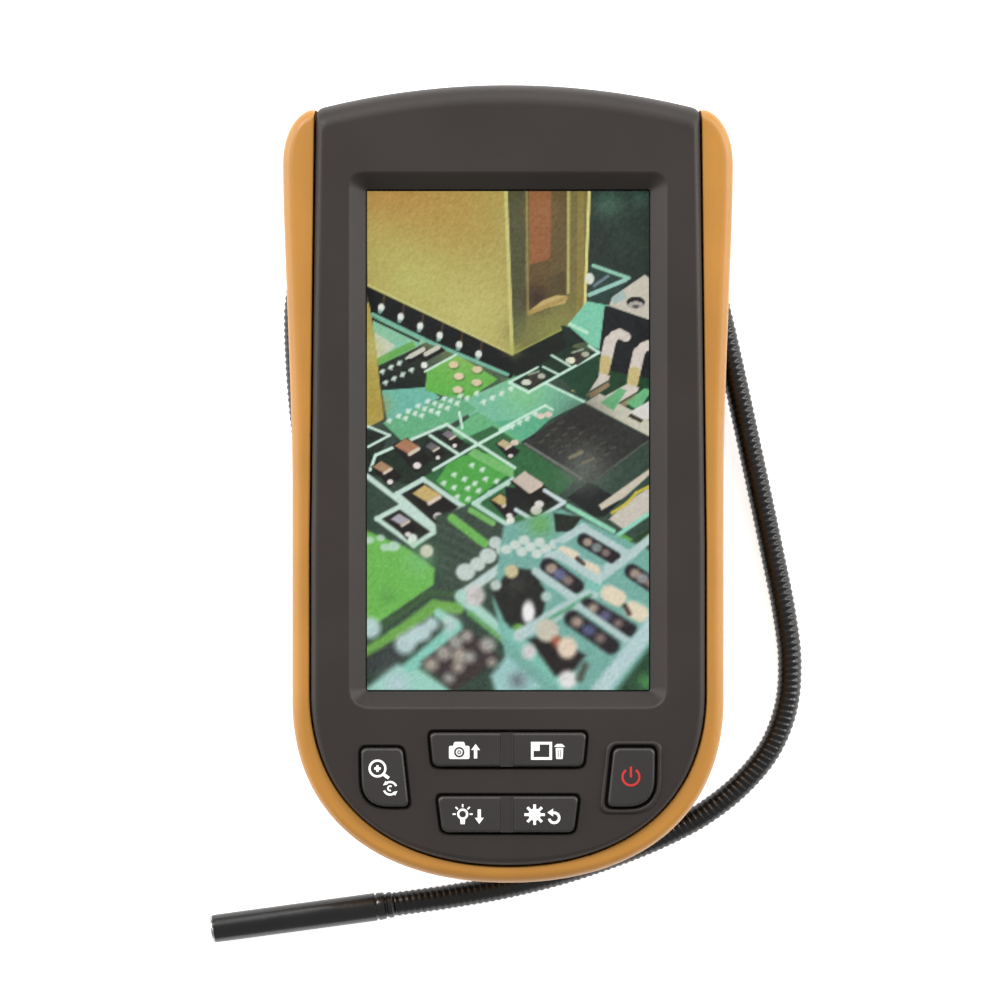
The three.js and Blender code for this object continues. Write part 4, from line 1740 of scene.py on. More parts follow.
@dataclass
class BoardPicture:
    """The live picture on the screen: a close view of a circuit board.

    Places are in millimetres from the picture's upper left corner, x to the right and y down.
    Colours are display values from 0 to 255. What lies lower in the picture is more out of focus.
    """

    width: float = 53.8
    height: float = 95.2
    pitch: float = 0.25
    sharp_until: float = 48.0
    sharpest: float = 0.28
    blur: float = 1.5
    blur_over: float = 46.0
    ground: Colour = (52, 72, 60)
    grain_seed: int = 7
    grain_spread: float = 5.0
    canvas: Points = field(init=False)
    across: Points = field(init=False)
    down: Points = field(init=False)

    def __post_init__(self) -> None:
        """Lays out the grid."""
        columns = int(self.width / self.pitch) + 1
        rows = int(self.height / self.pitch) + 1
        self.across = np.broadcast_to(np.linspace(0, self.width, columns), (rows, columns))
        self.down = np.broadcast_to(np.linspace(0, self.height, rows)[:, None], (rows, columns))
        self.canvas = np.zeros((rows, columns, 3))
        self.canvas[:] = self.ground

    def softness(self, y: float) -> float:
        """Gives the width of an edge's blur at a height in the picture."""
        return self.sharpest + self.blur * max(0.0, (y - self.sharp_until) / self.blur_over) ** 1.5

    def lay(self, distance: Points, y: float, colour: Colour, strength: float = 1.0) -> None:
        """Paints where a distance field is negative, with a soft edge.

        Args:
            distance: Signed distance to the shape's edge, negative inside.
            y: The shape's height in the picture, which sets its blur.
            colour: The colour.
            strength: How opaque it is.
        """
        soft = self.softness(y)
        mask = np.clip(0.5 - distance / soft, 0, 1)[:, :, None] * strength
        if strength == 1.0:
            mask = mask * mask * (3 - 2 * mask)
        self.canvas += (np.asarray(colour, float) - self.canvas) * mask

    def patch(self, corners: Sequence[Pair], colour: Colour, strength: float = 1.0) -> None:
        """Paints a convex patch.

        Args:
            corners: Its corners.
            colour: The colour.
            strength: How opaque it is.
        """
        points = np.array(corners, float)
        following = np.roll(points, -1, axis=0)
        area = float(np.sum(points[:, 0] * following[:, 1] - following[:, 0] * points[:, 1]))
        sign = 1.0 if area > 0 else -1.0
        distance = np.full(self.across.shape, -1e6)
        for (x0, y0), (x1, y1) in zip(points, following):
            length = math.hypot(x1 - x0, y1 - y0)
            across = (self.across - x0) * (y1 - y0) - (self.down - y0) * (x1 - x0)
            distance = np.maximum(distance, sign * across / length)
        self.lay(distance, float(points[:, 1].mean()), colour, strength)

    def bar(self, start: Pair, end: Pair, width: float, colour: Colour, strength: float = 1.0) -> None:
        """Paints a line with round ends.

        Args:
            start: Its first point.
            end: Its last point.
            width: Its width.
            colour: The colour.
            strength: How opaque it is.
        """
        dx, dy = end[0] - start[0], end[1] - start[1]
        along = ((self.across - start[0]) * dx + (self.down - start[1]) * dy) / (dx * dx + dy * dy)
        along = np.clip(along, 0, 1)
        distance = np.hypot(self.across - start[0] - along * dx, self.down - start[1] - along * dy)
        self.lay(distance - width / 2, (start[1] + end[1]) / 2, colour, strength)

    def lines(self, points: Sequence[Pair], width: float, colour: Colour) -> None:
        """Paints lines from point to point.

        Args:
            points: The points.
            width: The lines' width.
            colour: The colour.
        """
        for start, end in zip(points, points[1:]):
            self.bar(start, end, width, colour)

    def blob(
        self, x: float, y: float, radius: float, colour: Colour, flat: float = 1.0, strength: float = 1.0
    ) -> None:
        """Paints a round or oval spot.

        Args:
            x: Its middle.
            y: Its middle.
            radius: Its radius across.
            colour: The colour.
            flat: Its height as a share of its width.
            strength: How opaque it is.
        """
        distance = np.hypot(self.across - x, (self.down - y) / flat) - radius
        self.lay(distance, y, colour, strength)

    def shade(self, x: float, y: float, reach: float, colour: Colour, strength: float) -> None:
        """Tints the picture round a point, fading outwards.

        Args:
            x: The middle.
            y: The middle.
            reach: Where the tint has faded to a third.
            colour: The colour.
            strength: How opaque it is in the middle.
        """
        falloff = np.exp(-((self.across - x) ** 2 + (self.down - y) ** 2) / reach**2)[:, :, None]
        self.canvas += (np.asarray(colour, float) - self.canvas) * falloff * strength

    def paint(self) -> Points:
        """Paints the whole picture.

        Returns:
            Linear red, green and blue of each grid point, row by row.
        """
        self.board()
        self.left_parts()
        self.relay()
        self.transistor()
        self.big_chip()
        self.upper_marks()
        self.middle_parts()
        self.lower_left()
        self.lower_right()
        self.grain()
        shown = np.clip(self.canvas / 255, 0, 1)
        return np.where(shown <= 0.04045, shown / 12.92, ((shown + 0.055) / 1.055) ** 2.4)

    def grain(self) -> None:
        """Adds fine noise, smoothed a little."""
        random = np.random.default_rng(self.grain_seed)
        noise = random.normal(0, self.grain_spread, self.canvas.shape[:2])
        noise = (noise + np.roll(noise, 1, 0) + np.roll(noise, 1, 1)) / 2
        self.canvas += noise[:, :, None]

    def board(self) -> None:
        """Paints the board's copper fields and the gloom beyond its far edge."""
        teal, green, dark = (122, 192, 160), (92, 170, 82), (34, 44, 38)
        self.patch([(-1, -1), (55, -1), (55, 26), (-1, 26)], (38, 50, 44))
        self.shade(46, 2.5, 3.2, (74, 108, 90), 0.8)
        self.shade(52, 1.5, 2, (64, 96, 82), 0.6)
        self.shade(49, 9, 4, (44, 62, 52), 0.6)
        self.patch([(18, 40), (30, 34.6), (42, 40), (28, 47), (21, 46)], teal)
        self.shade(30, 38.5, 4, (134, 204, 140), 0.7)
        self.patch([(18, 44.8), (24, 44), (40.5, 38.5), (30, 48), (22, 50)], (96, 180, 140))
        self.patch([(1, 24), (12, 28.4), (6, 31.6), (1.4, 30)], (126, 200, 176))
        self.patch([(1.4, 27), (5.6, 29.6), (1.9, 32.2)], (204, 216, 206))
        self.patch([(1.8, 31.9), (8.6, 28.6), (9.4, 29.6), (2.2, 33.6)], green)
        self.patch([(2, 33.4), (10.6, 29.4), (12, 38), (2.6, 38.4)], (22, 30, 28))
        self.patch([(2.8, 38), (11.4, 37.4), (14, 39.4), (4, 44.6)], (112, 188, 168))
        self.patch([(3, 44.2), (16.6, 38.6), (21, 41.6), (8, 49)], (104, 178, 132))
        self.patch(
            [(11.4, 34.3), (17.2, 31.2), (25, 35.9), (19.6, 39.5), (14.3, 39), (11.1, 38)],
            (98, 182, 76),
        )
        self.patch([(21, 42), (29.4, 47.6), (21.4, 51), (16, 46)], (104, 182, 128))
        self.patch([(0, 45.6), (4.4, 46.4), (2, 51), (0, 51)], dark)
        self.patch([(8, 52), (24, 44.8), (40, 55), (30, 64), (18, 62)], (50, 104, 62))
        self.patch([(13.2, 55.4), (16.4, 50.6), (24, 50), (28.4, 53), (18.6, 60.2)], (80, 166, 72))
        for x, y in ((16.5, 33.1), (21, 34), (17.5, 35.3), (20.9, 36.5), (17.3, 37.9)):
            self.blob(x + 0.1, y + 0.25, 1.15, (70, 130, 60), 0.66)
            self.blob(x, y, 0.98, (228, 206, 178), 0.66)

    def relay(self) -> None:
        """Paints the yellow relay that stands over the board, with its solder pins."""
        black, pin = (14, 16, 16), (230, 234, 226)
        self.patch([(0, -1), (26.5, -1), (28.3, 33), (0.1, 19.5)], (178, 164, 90))
        self.shade(5, 1, 13, (184, 138, 70), 0.85)
        self.shade(16, 4, 9, (184, 148, 74), 0.6)
        self.shade(2, 10, 6, (186, 176, 98), 0.6)
        self.shade(9, 17, 8, (192, 192, 110), 0.75)
        self.shade(20, 24, 9, (198, 194, 118), 0.8)
        self.relay_side()
        self.patch([(-0.5, 17.9), (27.6, 31.2), (28.4, 34.4), (27.4, 35.8), (0.8, 23.2)], black)
        self.patch([(27.6, 31.4), (41.6, 24.4), (42.6, 27.2), (33.6, 33.4), (28.2, 35.4)], (20, 26, 20))
        self.patch([(37, 25.6), (42.2, 26.6), (42.4, 28.6), (38, 29.6)], (24, 40, 32))
        self.lines([(1.1, 23.5), (12, 28.8), (26.8, 35)], 0.7, (120, 186, 160))
        self.lines([(1.1, 24.4), (9.8, 28.6)], 0.45, (16, 26, 22))
        for step in range(6):
            x, y = 2.7 + 3.72 * step, 22.2 + 1.78 * step
            self.bar((x + 0.6, y - 2.3), (x + 0.4, y - 0.7), 0.35, (104, 74, 44), 0.8)
            self.blob(x, y, 0.62, pin, 1.2)
            self.blob(x - 0.2, y + 0.8, 0.45, (150, 196, 180), 0.9, 0.8)
        self.bar((0.2, 17.9), (27.6, 31.1), 0.35, (206, 204, 132))
        self.bar((26.5, 0), (27.7, 31), 0.7, (206, 200, 124))
        self.shade(27.8, 30, 1.6, (176, 178, 92), 0.6)

    def relay_side(self) -> None:
        """Paints the relay's shaded side and the slot in it."""
        self.patch([(26.4, -1), (42.8, -1), (41.6, 24.4), (27.9, 31.6)], (122, 112, 66))
        self.patch([(26.7, -1), (30.2, -1), (30.3, 26), (27.9, 31)], (84, 84, 56))
        self.shade(29.4, 27, 2.6, (112, 116, 66), 0.8)
        self.shade(36, 26.6, 5.5, (140, 142, 76), 0.85)
        self.patch([(30.7, -1), (38.2, -1), (38, 19.9), (30.9, 23.4)], (104, 88, 54))
        self.patch([(30.9, -1), (35.2, -1), (35, 13.4), (31, 14.6)], (152, 100, 62))
        self.shade(33.2, 4, 3, (160, 108, 68), 0.5)
        self.patch([(31, 14), (34.9, 13), (34.9, 21), (31, 22.8)], (104, 84, 52))
        self.shade(32.4, 20.4, 2.4, (62, 46, 38), 0.9)
        self.patch([(34.9, 16.4), (38, 15), (38, 19.8), (34.9, 20.8)], (88, 76, 48))
        self.patch(
            [(30.9, 22.9), (33.4, 20.9), (36.2, 19.8), (38.1, 19.9), (37.9, 21.4), (34.6, 22.2)],
            (196, 172, 108),
        )
        self.lines([(30.9, 23.3), (34.4, 21.9), (38, 20.4)], 0.7, (178, 152, 88))
        self.bar((30.5, 0), (30.7, 23.4), 0.3, (150, 142, 86))
        self.bar((38.5, 0), (38.4, 19.4), 0.55, (186, 176, 104))
        self.bar((40.9, 0), (40.6, 23), 1.3, (142, 128, 66))
        self.bar((42.4, 0), (41.5, 24.1), 0.55, (226, 218, 140))
        self.lines([(28.3, 31.2), (35, 27.8), (41.5, 24.2)], 0.8, (150, 160, 78))

    def transistor(self) -> None:
        """Paints the tabbed transistor and its two bent legs."""
        self.patch([(42.4, 13.4), (50.6, 16.2), (46, 21.6), (42.2, 21.6)], (44, 66, 60))
        self.bar((43.2, 14.2), (50, 16.6), 0.7, (150, 204, 180))
        self.bar((42.4, 19.8), (49.4, 16.9), 0.8, (156, 204, 190))
        self.bar((43.4, 18), (46, 16.2), 0.6, (112, 130, 140))
        self.blob(42.5, 16.7, 0.85, (220, 226, 214), 1.3)
        self.patch([(42, 21), (46.2, 21.8), (45.2, 30.6), (42.6, 29.4), (38.3, 25.6)], (128, 204, 172))
        self.bar((38.8, 25.4), (42, 27), 0.7, (186, 236, 206))
        self.patch([(46.8, 20.2), (53, 15.9), (55, 17.4), (55, 25), (46.2, 21.9)], (204, 198, 182))
        self.patch([(46.6, 20.6), (48.8, 18.8), (49.6, 20.4), (47.2, 21.6)], (168, 190, 186))
        self.blob(51.3, 21.2, 1.75, (36, 34, 32), 0.62)
        self.blob(51.3, 21.75, 1.5, (176, 172, 164), 0.5)
        self.blob(51.3, 22, 0.6, (92, 88, 84), 0.6)
        self.patch([(45.4, 21.8), (55, 24.9), (55, 41), (43.6, 36.4)], (26, 28, 30))
        self.patch([(43.4, 33.8), (55, 36), (55, 44), (44, 39)], (30, 66, 40))
        for shift in ((0, 0), (5.5, 2.2)):
            self.leg(shift)
        self.patch([(41.6, 40.4), (44.4, 38.6), (55, 44.2), (55, 47.4)], (206, 204, 184))
        for shift in (0, 4.8):
            gap = [(44.6 + shift, 40.4), (48.2 + shift, 37.6), (49.6 + shift, 38), (47 + shift, 41.9)]
            self.patch(gap, (110, 184, 128))
        self.patch([(50, 42.2), (55, 39.4), (55, 43.6), (52, 43.4)], (222, 220, 214))
        self.patch([(50.4, 42.4), (52.8, 43.7), (52.2, 44.2), (49.8, 43)], (60, 50, 36))

    def leg(self, shift: Pair) -> None:
        """Paints one bent leg of the transistor and its pad.

        Args:
            shift: How far it stands from the first leg.
        """
        light, tan, brown = (216, 206, 196), (204, 186, 128), (150, 128, 96)

        def moved(*places: Pair) -> list[Pair]:
            """Moves places on the first leg to this one."""
            return [(x + shift[0], y + shift[1]) for x, y in places]

        self.lines(moved((46.6, 28.6), (47.2, 27.6), (48.2, 27.2), (49.4, 27.8)), 1.9, light)
        self.lines(moved((46.4, 28.6), (45.5, 32.6)), 2.3, light)
        self.lines(moved((45.5, 32.4), (45.2, 34.2)), 2.2, tan)
        self.patch(moved((44.1, 34.6), (46.4, 35.2), (46.2, 36), (42.3, 38.3), (39.8, 37)), light)
        self.patch(moved((39.8, 37.1), (42.3, 38.4), (42.2, 39.1), (39, 38.1)), tan)
        self.patch(moved((42.4, 38.6), (46, 36.4), (46.4, 37.2), (42.6, 39.6)), brown)

    def big_chip(self) -> None:
        """Paints the large black chip and its solder joints."""
        self.patch(
            [(29.2, 47.4), (42.4, 55.4), (54.2, 46.6), (55, 52.4), (45.4, 62), (43.4, 62.2), (29, 52)],
            (22, 24, 24),
        )
        self.patch([(41.3, 40.7), (54.4, 47.2), (43.6, 55.3), (41.2, 55.3), (29.3, 47.9)], (48, 48, 46))
        self.shade(41, 44, 5, (38, 34, 32), 0.5)
        self.shade(41.5, 53, 4.5, (108, 114, 106), 0.75)
        self.bar((30.2, 48.2), (41, 54.9), 0.5, (112, 118, 108))
        self.bar((43.8, 54.9), (53.8, 47.6), 0.4, (84, 88, 82))
        for row in range(4):
            for step in range(6):
                x = 36.6 + 2 * step - 1.3 * row
                y = 44.4 + 0.95 * step + 1.2 * row
                self.bar((x, y), (x + 0.9, y - 0.35), 0.32, (92, 88, 76), 0.65)
        self.bar((38.7, 50.9), (41, 49.8), 0.7, (150, 142, 112), 0.7)
        self.bar((41.2, 51.9), (43.2, 51), 0.6, (136, 130, 104), 0.6)
        self.patch([(44.2, 59.9), (55, 52.2), (55, 53.2), (49.2, 58.4), (44.8, 60.9)], (208, 198, 180))
        self.patch(
            [(45.3, 62), (49.4, 59.4), (51.2, 57.6), (55, 56.2), (55, 60.8), (49, 64.6)],
            (206, 198, 186),
        )
        self.lines([(46.8, 61.4), (49.6, 59.6), (51.4, 57.6), (53.8, 56.4)], 0.6, (204, 188, 70))
        self.patch(
            [(37.6, 59.4), (48.9, 65.4), (55, 62.2), (55, 64.6), (49.4, 67.4), (37, 61.6)],
            (92, 164, 66),
        )
        self.bar((38.4, 60.1), (47, 64.9), 0.95, (150, 220, 186))
        self.bar((47.8, 65.7), (53.8, 61.6), 0.8, (150, 220, 196))
        self.bar((37.9, 61.8), (49.2, 68), 1, (34, 52, 30))
        self.bar((49.2, 68), (54.6, 64.8), 1, (40, 66, 34))

    def upper_marks(self) -> None:
        """Paints the printed outlines of the sharp part of the board."""
        white = (206, 240, 220)
        self.patch([(27.6, 36.4), (38.4, 29.6), (43.6, 30.8), (31, 38)], (26, 48, 34))
        self.patch([(36.4, 35.2), (44.6, 31.2), (44.2, 35.4), (41.4, 39.8)], (30, 66, 44))
        self.lines([(27.2, 36.5), (32.6, 33.6)], 0.4, white)
        self.lines([(27.2, 36.5), (30.8, 38.4), (44.3, 30.8), (42.3, 29.5)], 0.5, white)
        self.lines([(35.2, 31.3), (38.8, 33.4)], 0.4, white)
        self.lines([(33.6, 33.5), (36.6, 35)], 0.4, white)
        self.lines([(34.2, 36.7), (41.4, 40.2)], 0.4, white)
        self.lines([(25.3, 45.5), (34, 40.9), (35.4, 41.7)], 0.45, white)
        for x, y in ((31.4, 35.6), (39.8, 31.4)):
            self.patch([(x - 1.6, y + 0.9), (x + 1, y - 1.2), (x + 3, y), (x + 0.4, y + 1.8)], (56, 52, 46))
            self.blob(x - 1, y + 0.9, 0.95, (214, 216, 200), 0.6)
            self.blob(x + 1.9, y - 0.3, 0.75, (178, 182, 160), 0.7)
            self.bar((x - 0.6, y - 0.6), (x + 1.4, y - 1.2), 0.4, (150, 160, 140))
        self.blob(39.1, 32.3, 0.62, (232, 230, 200))
        self.lines([(11.1, 34.4), (17, 31.2)], 0.45, white)
        for x, y in ((33.2, 42.9), (34.6, 42.6), (28.2, 48)):
            self.blob(x, y, 0.8, (222, 206, 188), 0.7)
        self.word(2.9, 34.5, 4, 1.65, -0.85)
        self.word(3.5, 36.6, 4, 1.65, -0.8)
        self.word(22.2, 40.3, 4, 1.75, -0.85)
        self.word(27.6, 45, 4, 1.5, -0.8)
        for row in range(4):
            self.word(4.2 + 3.1 * row, 43.9 - 0.5 * row, 5, 1.85, -0.95)
        for x, y in ((8.9, 30.6), (11.8, 30.2)):
            self.patch(
                [(x - 1.6, y + 1.7), (x + 2.4, y - 0.5), (x + 3.2, y + 0.2), (x - 0.8, y + 2.4)],
                (20, 20, 18),
            )
            self.bar((x - 0.6, y + 0.9), (x + 1.8, y - 0.4), 0.9, (208, 206, 190))
        self.blob(10.9, 33.2, 0.62, (240, 240, 234))
        self.lines([(17.6, 42.2), (18.2, 45.2)], 0.5, white)

    def word(self, x: float, y: float, count: int, step_x: float, step_y: float) -> None:
        """Paints a row of small unreadable marks.

        Args:
            x: The first mark.
            y: The first mark.
            count: How many marks.
            step_x: The step between them.
            step_y: The step between them.
        """
        soft = self.softness(y)
        for step in range(count):
            left, low = x + step_x * step, y + step_y * step
            lean = 0.12 * (step % 3 - 1)
            stroke = (left - 0.3, low + 0.1 + lean), (left + 0.3, low - 0.25)
            self.bar(*stroke, 0.5 + 0.2 * soft, (214, 236, 222), 0.85)
            self.bar((left - 0.1 - lean, low - 0.3), (left + 0.15, low + 0.35), 0.4, (222, 240, 228), 0.8)

    def left_parts(self) -> None:
        """Paints the yellow block that enters at the left."""
        self.patch(
            [(-0.5, 21.4), (0.5, 21.2), (1.2, 25), (2.1, 33.5), (3.4, 43.4), (0, 45.2), (-0.5, 45)],
            (178, 160, 76),
        )
        self.shade(0.8, 30, 3, (196, 190, 116), 0.6)
        self.shade(2, 41, 2.4, (176, 146, 66), 0.6)

    def small_part(self, x: float, y: float, size: float, top: Colour) -> None:
        """Paints a small part with metal ends, seen from its end.

        Args:
            x: The middle of its top.
            y: The middle of its top.
            size: Its length.
            top: Its colour.
        """

        def sized(*places: Pair) -> list[Pair]:
            """Turns places in part lengths into places in the picture."""
            return [(x + across * size, y + down * size) for across, down in places]

        self.patch(sized((-1.1, 0), (0, -0.6), (1.9, 0.9), (0.7, 2)), (24, 20, 18))
        self.patch(sized((-0.9, 0), (-0.1, -0.55), (0.9, 0.05), (0.1, 0.6)), top)
        self.bar(*sized((0.2, 0.62), (0.85, 0.22)), 0.28 * size, (222, 206, 186))
        self.blob(*sized((0.75, 1.45))[0], 0.3 * size, (232, 224, 222), 0.8)

    def boxed(self, corners: Sequence[Pair], width: float) -> None:
        """Paints a printed outline round a part, dark inside.

        Args:
            corners: Its four corners.
            width: The line's width.
        """
        self.patch(corners, (30, 34, 28))
        self.lines([*corners, corners[0]], width, (200, 226, 214))

    def middle_parts(self) -> None:
        """Paints the small parts across the middle and their outlines."""
        white, tan = (206, 236, 220), (190, 160, 110)
        self.patch([(0, 51), (12.8, 45.2), (21, 49), (8, 56), (0, 54)], (30, 44, 34))
        self.lines([(0.2, 44.9), (4.3, 46.6), (0.2, 48.8)], 0.5, white)
        self.lines([(0.6, 53.2), (1.6, 50.4), (15.2, 44.5), (21.2, 48.3), (28.2, 52.8)], 0.6, white)
        self.lines([(28, 44.6), (20.6, 48.6), (12.7, 53.2)], 0.6, white)
        self.lines([(12, 46.6), (17.3, 50.1)], 0.6, white)
        self.small_part(15.6, 46.4, 1.5, (120, 116, 124))
        self.small_part(12.4, 48.7, 1.5, (104, 104, 106))
        self.small_part(7.6, 48.6, 2.6, (172, 122, 90))
        self.small_part(26.2, 48.2, 1.6, (196, 180, 140))
        self.patch([(20.4, 49), (28, 53), (28, 55), (19.2, 50.2)], (120, 188, 110))
        self.small_part(2.9, 52.6, 2, (170, 136, 102))
        self.lines([(0, 54.4), (13, 64.4)], 1, (202, 226, 216))
        self.boxed([(5.7, 57.8), (10.7, 55), (18.3, 60.2), (13.1, 64.2)], 0.95)
        self.small_part(11.3, 57.7, 3, (202, 176, 112))
        self.boxed([(1.9, 62.5), (6.3, 60.2), (12.9, 65), (8.9, 67.6)], 0.95)
        self.small_part(6.3, 62.6, 2, (176, 174, 184))
        self.blob(8.7, 66.3, 0.9, (226, 234, 226))
        for row, (x, y) in enumerate(((20, 52.4), (16.6, 54.2), (14.6, 55.8))):
            self.word(x, y, 2 + row % 2, 2, 0.8)
            self.word(x + 2.6, y + 2.6, 3, 2.1, 0.4)
        self.lines([(27.8, 55), (20.4, 59.6), (27, 63.8)], 0.9, (186, 222, 206))
        self.small_part(25.6, 58.9, 2.1, (196, 172, 112))
        self.patch([(26.4, 56.4), (34, 57.4), (37, 60), (32, 62.6), (26.6, 60.4)], (22, 24, 22))
        self.small_part(30.6, 55.4, 3, tan)
        self.patch([(27.7, 55.2), (30.1, 53.4), (33.6, 55.8), (30.9, 57.7)], (206, 192, 178))
        self.blob(32.3, 60.9, 1.1, (228, 216, 216), 0.85)
        self.blob(27.4, 62.9, 0.8, (236, 236, 226))
        self.lines([(33.9, 57.1), (37.6, 59.4), (32, 62.9), (28.4, 60.8)], 0.8, (206, 222, 224))

    def lower_left(self) -> None:
        """Paints the blurred lower left of the picture."""
        green, pale, teal = (112, 182, 88), (196, 216, 212), (136, 206, 188)
        self.patch([(13, 62), (19, 60), (28, 66), (25, 76), (14, 78)], (58, 74, 62))
        for step in range(6):
            y = 64.5 + 1.9 * step
            self.bar((14.2, y - 0.6), (23, y + 3.6), 0.45, (84, 100, 88), 0.55)
        self.bar((16.2, 62.4), (22.4, 67.2), 1.7, green)
        self.bar((19.8, 60.9), (24, 63.4), 1.1, (120, 186, 98))
        self.patch([(-1, 64.4), (7.2, 67.8), (12.9, 72), (12.7, 75.2), (-1, 84.6)], (112, 186, 84))
        self.shade(10, 70.5, 3, (128, 196, 128), 0.6)
        self.shade(3.8, 77.4, 1.6, (84, 150, 70), 0.6)
        self.lines([(-1, 85.6), (3, 83), (12.2, 76.6), (16.8, 77)], 1.2, (62, 92, 58))
        self.lines([(-1, 88.6), (5.2, 84.8), (12.8, 79.2), (17.4, 79.6)], 2.3, (112, 170, 78))
        self.patch([(-1, 89.4), (12.4, 81.6), (13.4, 83.8), (5, 90.6), (-1, 92.6)], (56, 64, 62))
        for x, y, radius in ((0.4, 66.6, 0.9), (2.6, 66.2, 0.8), (3.4, 68, 0.9), (5.1, 67.8, 1.2)):
            self.blob(x, y, radius, (190, 222, 206), 0.8, 0.85)
        self.blob(11.4, 68.7, 1.25, (206, 210, 186))
        dots = (18.8, 72.7, 1.85), (21.1, 71.2, 1.5), (23.1, 69.6, 1.65), (24.5, 67.1, 1.3), (25.8, 68.5, 1.2)
        for x, y, radius in dots:
            self.blob(x, y, radius, (198, 212, 206), 0.9)
        self.bar((17.9, 77.2), (30.6, 68.4), 1.9, pale)
        dots = (0.6, 83.4, 2), (7.3, 86.4, 2), (9, 84.9, 1.6), (10.6, 84.2, 1.7), (12.3, 82.6, 1.3)
        for x, y, radius in dots:
            self.blob(x, y, radius, (190, 216, 216), 1, 0.95)
        self.bar((13.6, 80.6), (16.4, 82.4), 1.8, (156, 214, 192))
        self.patch([(-1, 95.6), (5.6, 90.4), (9.6, 90.8), (17, 96)], (158, 212, 196))
        self.shade(5.6, 94, 2.6, (188, 208, 214), 0.8)
        self.bar((8.2, 90.8), (17, 83.2), 2.3, teal)
        self.shade(15.8, 82.6, 1.8, (198, 216, 214), 0.8)
        self.patch([(10.4, 89.8), (19.6, 83.4), (25.4, 89.2), (16.6, 95.6)], (62, 52, 52))
        blobs = (
            (12.2, 90.4, 1.3), (14.6, 88.2, 1.4), (16.9, 86.1, 1.3), (17.6, 88.6, 1.4), (19, 84.9, 1.1),
            (19.6, 89, 1.1), (17.4, 90.8, 1.1), (23, 86.6, 1.5), (15.6, 93, 1), (23.8, 89.9, 0.8),
        )
        for index, (x, y, radius) in enumerate(blobs):
            self.blob(x, y, radius, (196 - 6 * (index % 3), 186, 172 + 4 * (index % 3)), 0.95, 0.8)
        self.bar((18, 77.4), (28.4, 86.6), 2.5, (172, 216, 202))
        self.bar((19.6, 80.6), (27.4, 86.8), 0.9, (104, 168, 96))
        self.blob(20.6, 77.2, 1.9, (212, 206, 204), 1.1, 0.9)

    def resistor(self, start: Pair, end: Pair, width: float, middle: Colour) -> None:
        """Paints a blurred dark resistor with pale ends.

        Args:
            start: One end.
            end: The other end.
            width: Its width.
            middle: The colour in its middle.
        """
        dx, dy = end[0] - start[0], end[1] - start[1]
        self.bar(start, end, width, (34, 30, 34))
        at = [(start[0] + share * dx, start[1] + share * dy) for share in (0.12, 0.42, 0.72)]
        self.blob(*at[0], width * 0.36, (190, 170, 152), 0.9, 0.85)
        self.blob(*at[1], width * 0.4, middle, 0.9, 0.8)
        self.blob(*at[2], width * 0.32, (176, 152, 142), 0.9, 0.7)

    def lower_right(self) -> None:
        """Paints the blurred lower right of the picture."""
        pale, teal, cream = (186, 210, 208), (128, 194, 178), (232, 218, 192)
        blue = (96, 104, 150)
        self.patch([(26, 64), (37, 60.6), (55, 69), (55, 96), (28, 96), (24, 78)], (120, 176, 164))
        self.shade(33, 63.6, 2.4, (104, 172, 86), 0.8)
        for row in range(3):
            for step in range(3):
                x, y = 26.6 + 2.9 * row + 1.7 * step, 68.4 - 1.1 * row - 0.9 * step + 1.5 * row
                self.blob(x, y, 1.05, (206, 220, 212), 0.85)
        self.patch([(35.6, 61.4), (41, 62.2), (39, 65), (36, 65)], (34, 40, 32))
        self.lines([(36.2, 67.2), (41.2, 64.2), (49.8, 69.3), (44.6, 72.6)], 1.5, pale)
        self.resistor((41.4, 66.6), (47.2, 70), 2.5, (150, 164, 160))
        self.bar((36.6, 67.6), (45.2, 72.6), 1.2, (140, 188, 182))
        for x, y in ((38.4, 69.3), (42.4, 72)):
            self.bar((x - 0.9, y - 0.3), (x + 0.9, y + 0.5), 2.5, cream)
        self.bar((40.2, 70.2), (41.2, 71.2), 0.9, (60, 44, 40))
        self.lines([(34.6, 69.6), (36.6, 69.4), (44, 74.2), (50.6, 69.2), (54.6, 65.8)], 1.6, pale)
        self.resistor((34.6, 71.6), (39.8, 75.4), 3.1, (110, 120, 160))
        self.resistor((50.6, 72.6), (55.4, 75.8), 2.8, (176, 176, 180))
        self.patch([(23.8, 76.6), (27.6, 71.8), (31.8, 72.4), (34.4, 77), (33, 83), (27, 83.6)], (34, 36, 32))
        self.shade(28.6, 75.2, 1.8, (58, 58, 52), 0.8)
        self.blob(27.6, 72.6, 1.3, (206, 194, 152))
        self.blob(24.6, 75.2, 1.05, (190, 206, 198))
        self.bar((32.2, 72.6), (40, 78), 1.6, pale)
        self.blob(34.2, 77.4, 1, (176, 206, 196))
        self.blob(30.8, 80.4, 1.25, (246, 244, 244), 1.75)
        self.blob(28.9, 83.3, 1.1, (104, 166, 70), 0.7)
        self.bar((26.2, 83.6), (37.2, 94.2), 2.1, teal)
        self.bar((29, 84.8), (44.2, 76), 2.4, pale)
        self.bar((34.6, 81.8), (42.6, 77.2), 0.7, (86, 160, 120))
        self.bar((42.6, 75.2), (55, 80.8), 1.6, teal)
        for x, y in ((47.1, 77.2), (51.5, 80.2)):
            self.bar((x - 0.9, y - 0.4), (x + 0.8, y + 0.5), 3.2, cream)
        self.bar((49.2, 79.2), (50, 80.6), 0.8, (52, 40, 32))
        self.resistor((42.2, 79), (50.2, 83.8), 2.7, (112, 108, 150))
        self.bar((40.4, 79.2), (49.4, 85.6), 1.3, pale)
        self.resistor((39.2, 81.6), (46.6, 86.8), 3.1, blue)
        self.patch([(31, 85.6), (34.6, 84.2), (41.6, 88.6), (38.4, 93), (35.8, 92.4)], (32, 26, 24))
        self.blob(34.4, 83.9, 2.2, (206, 200, 182))
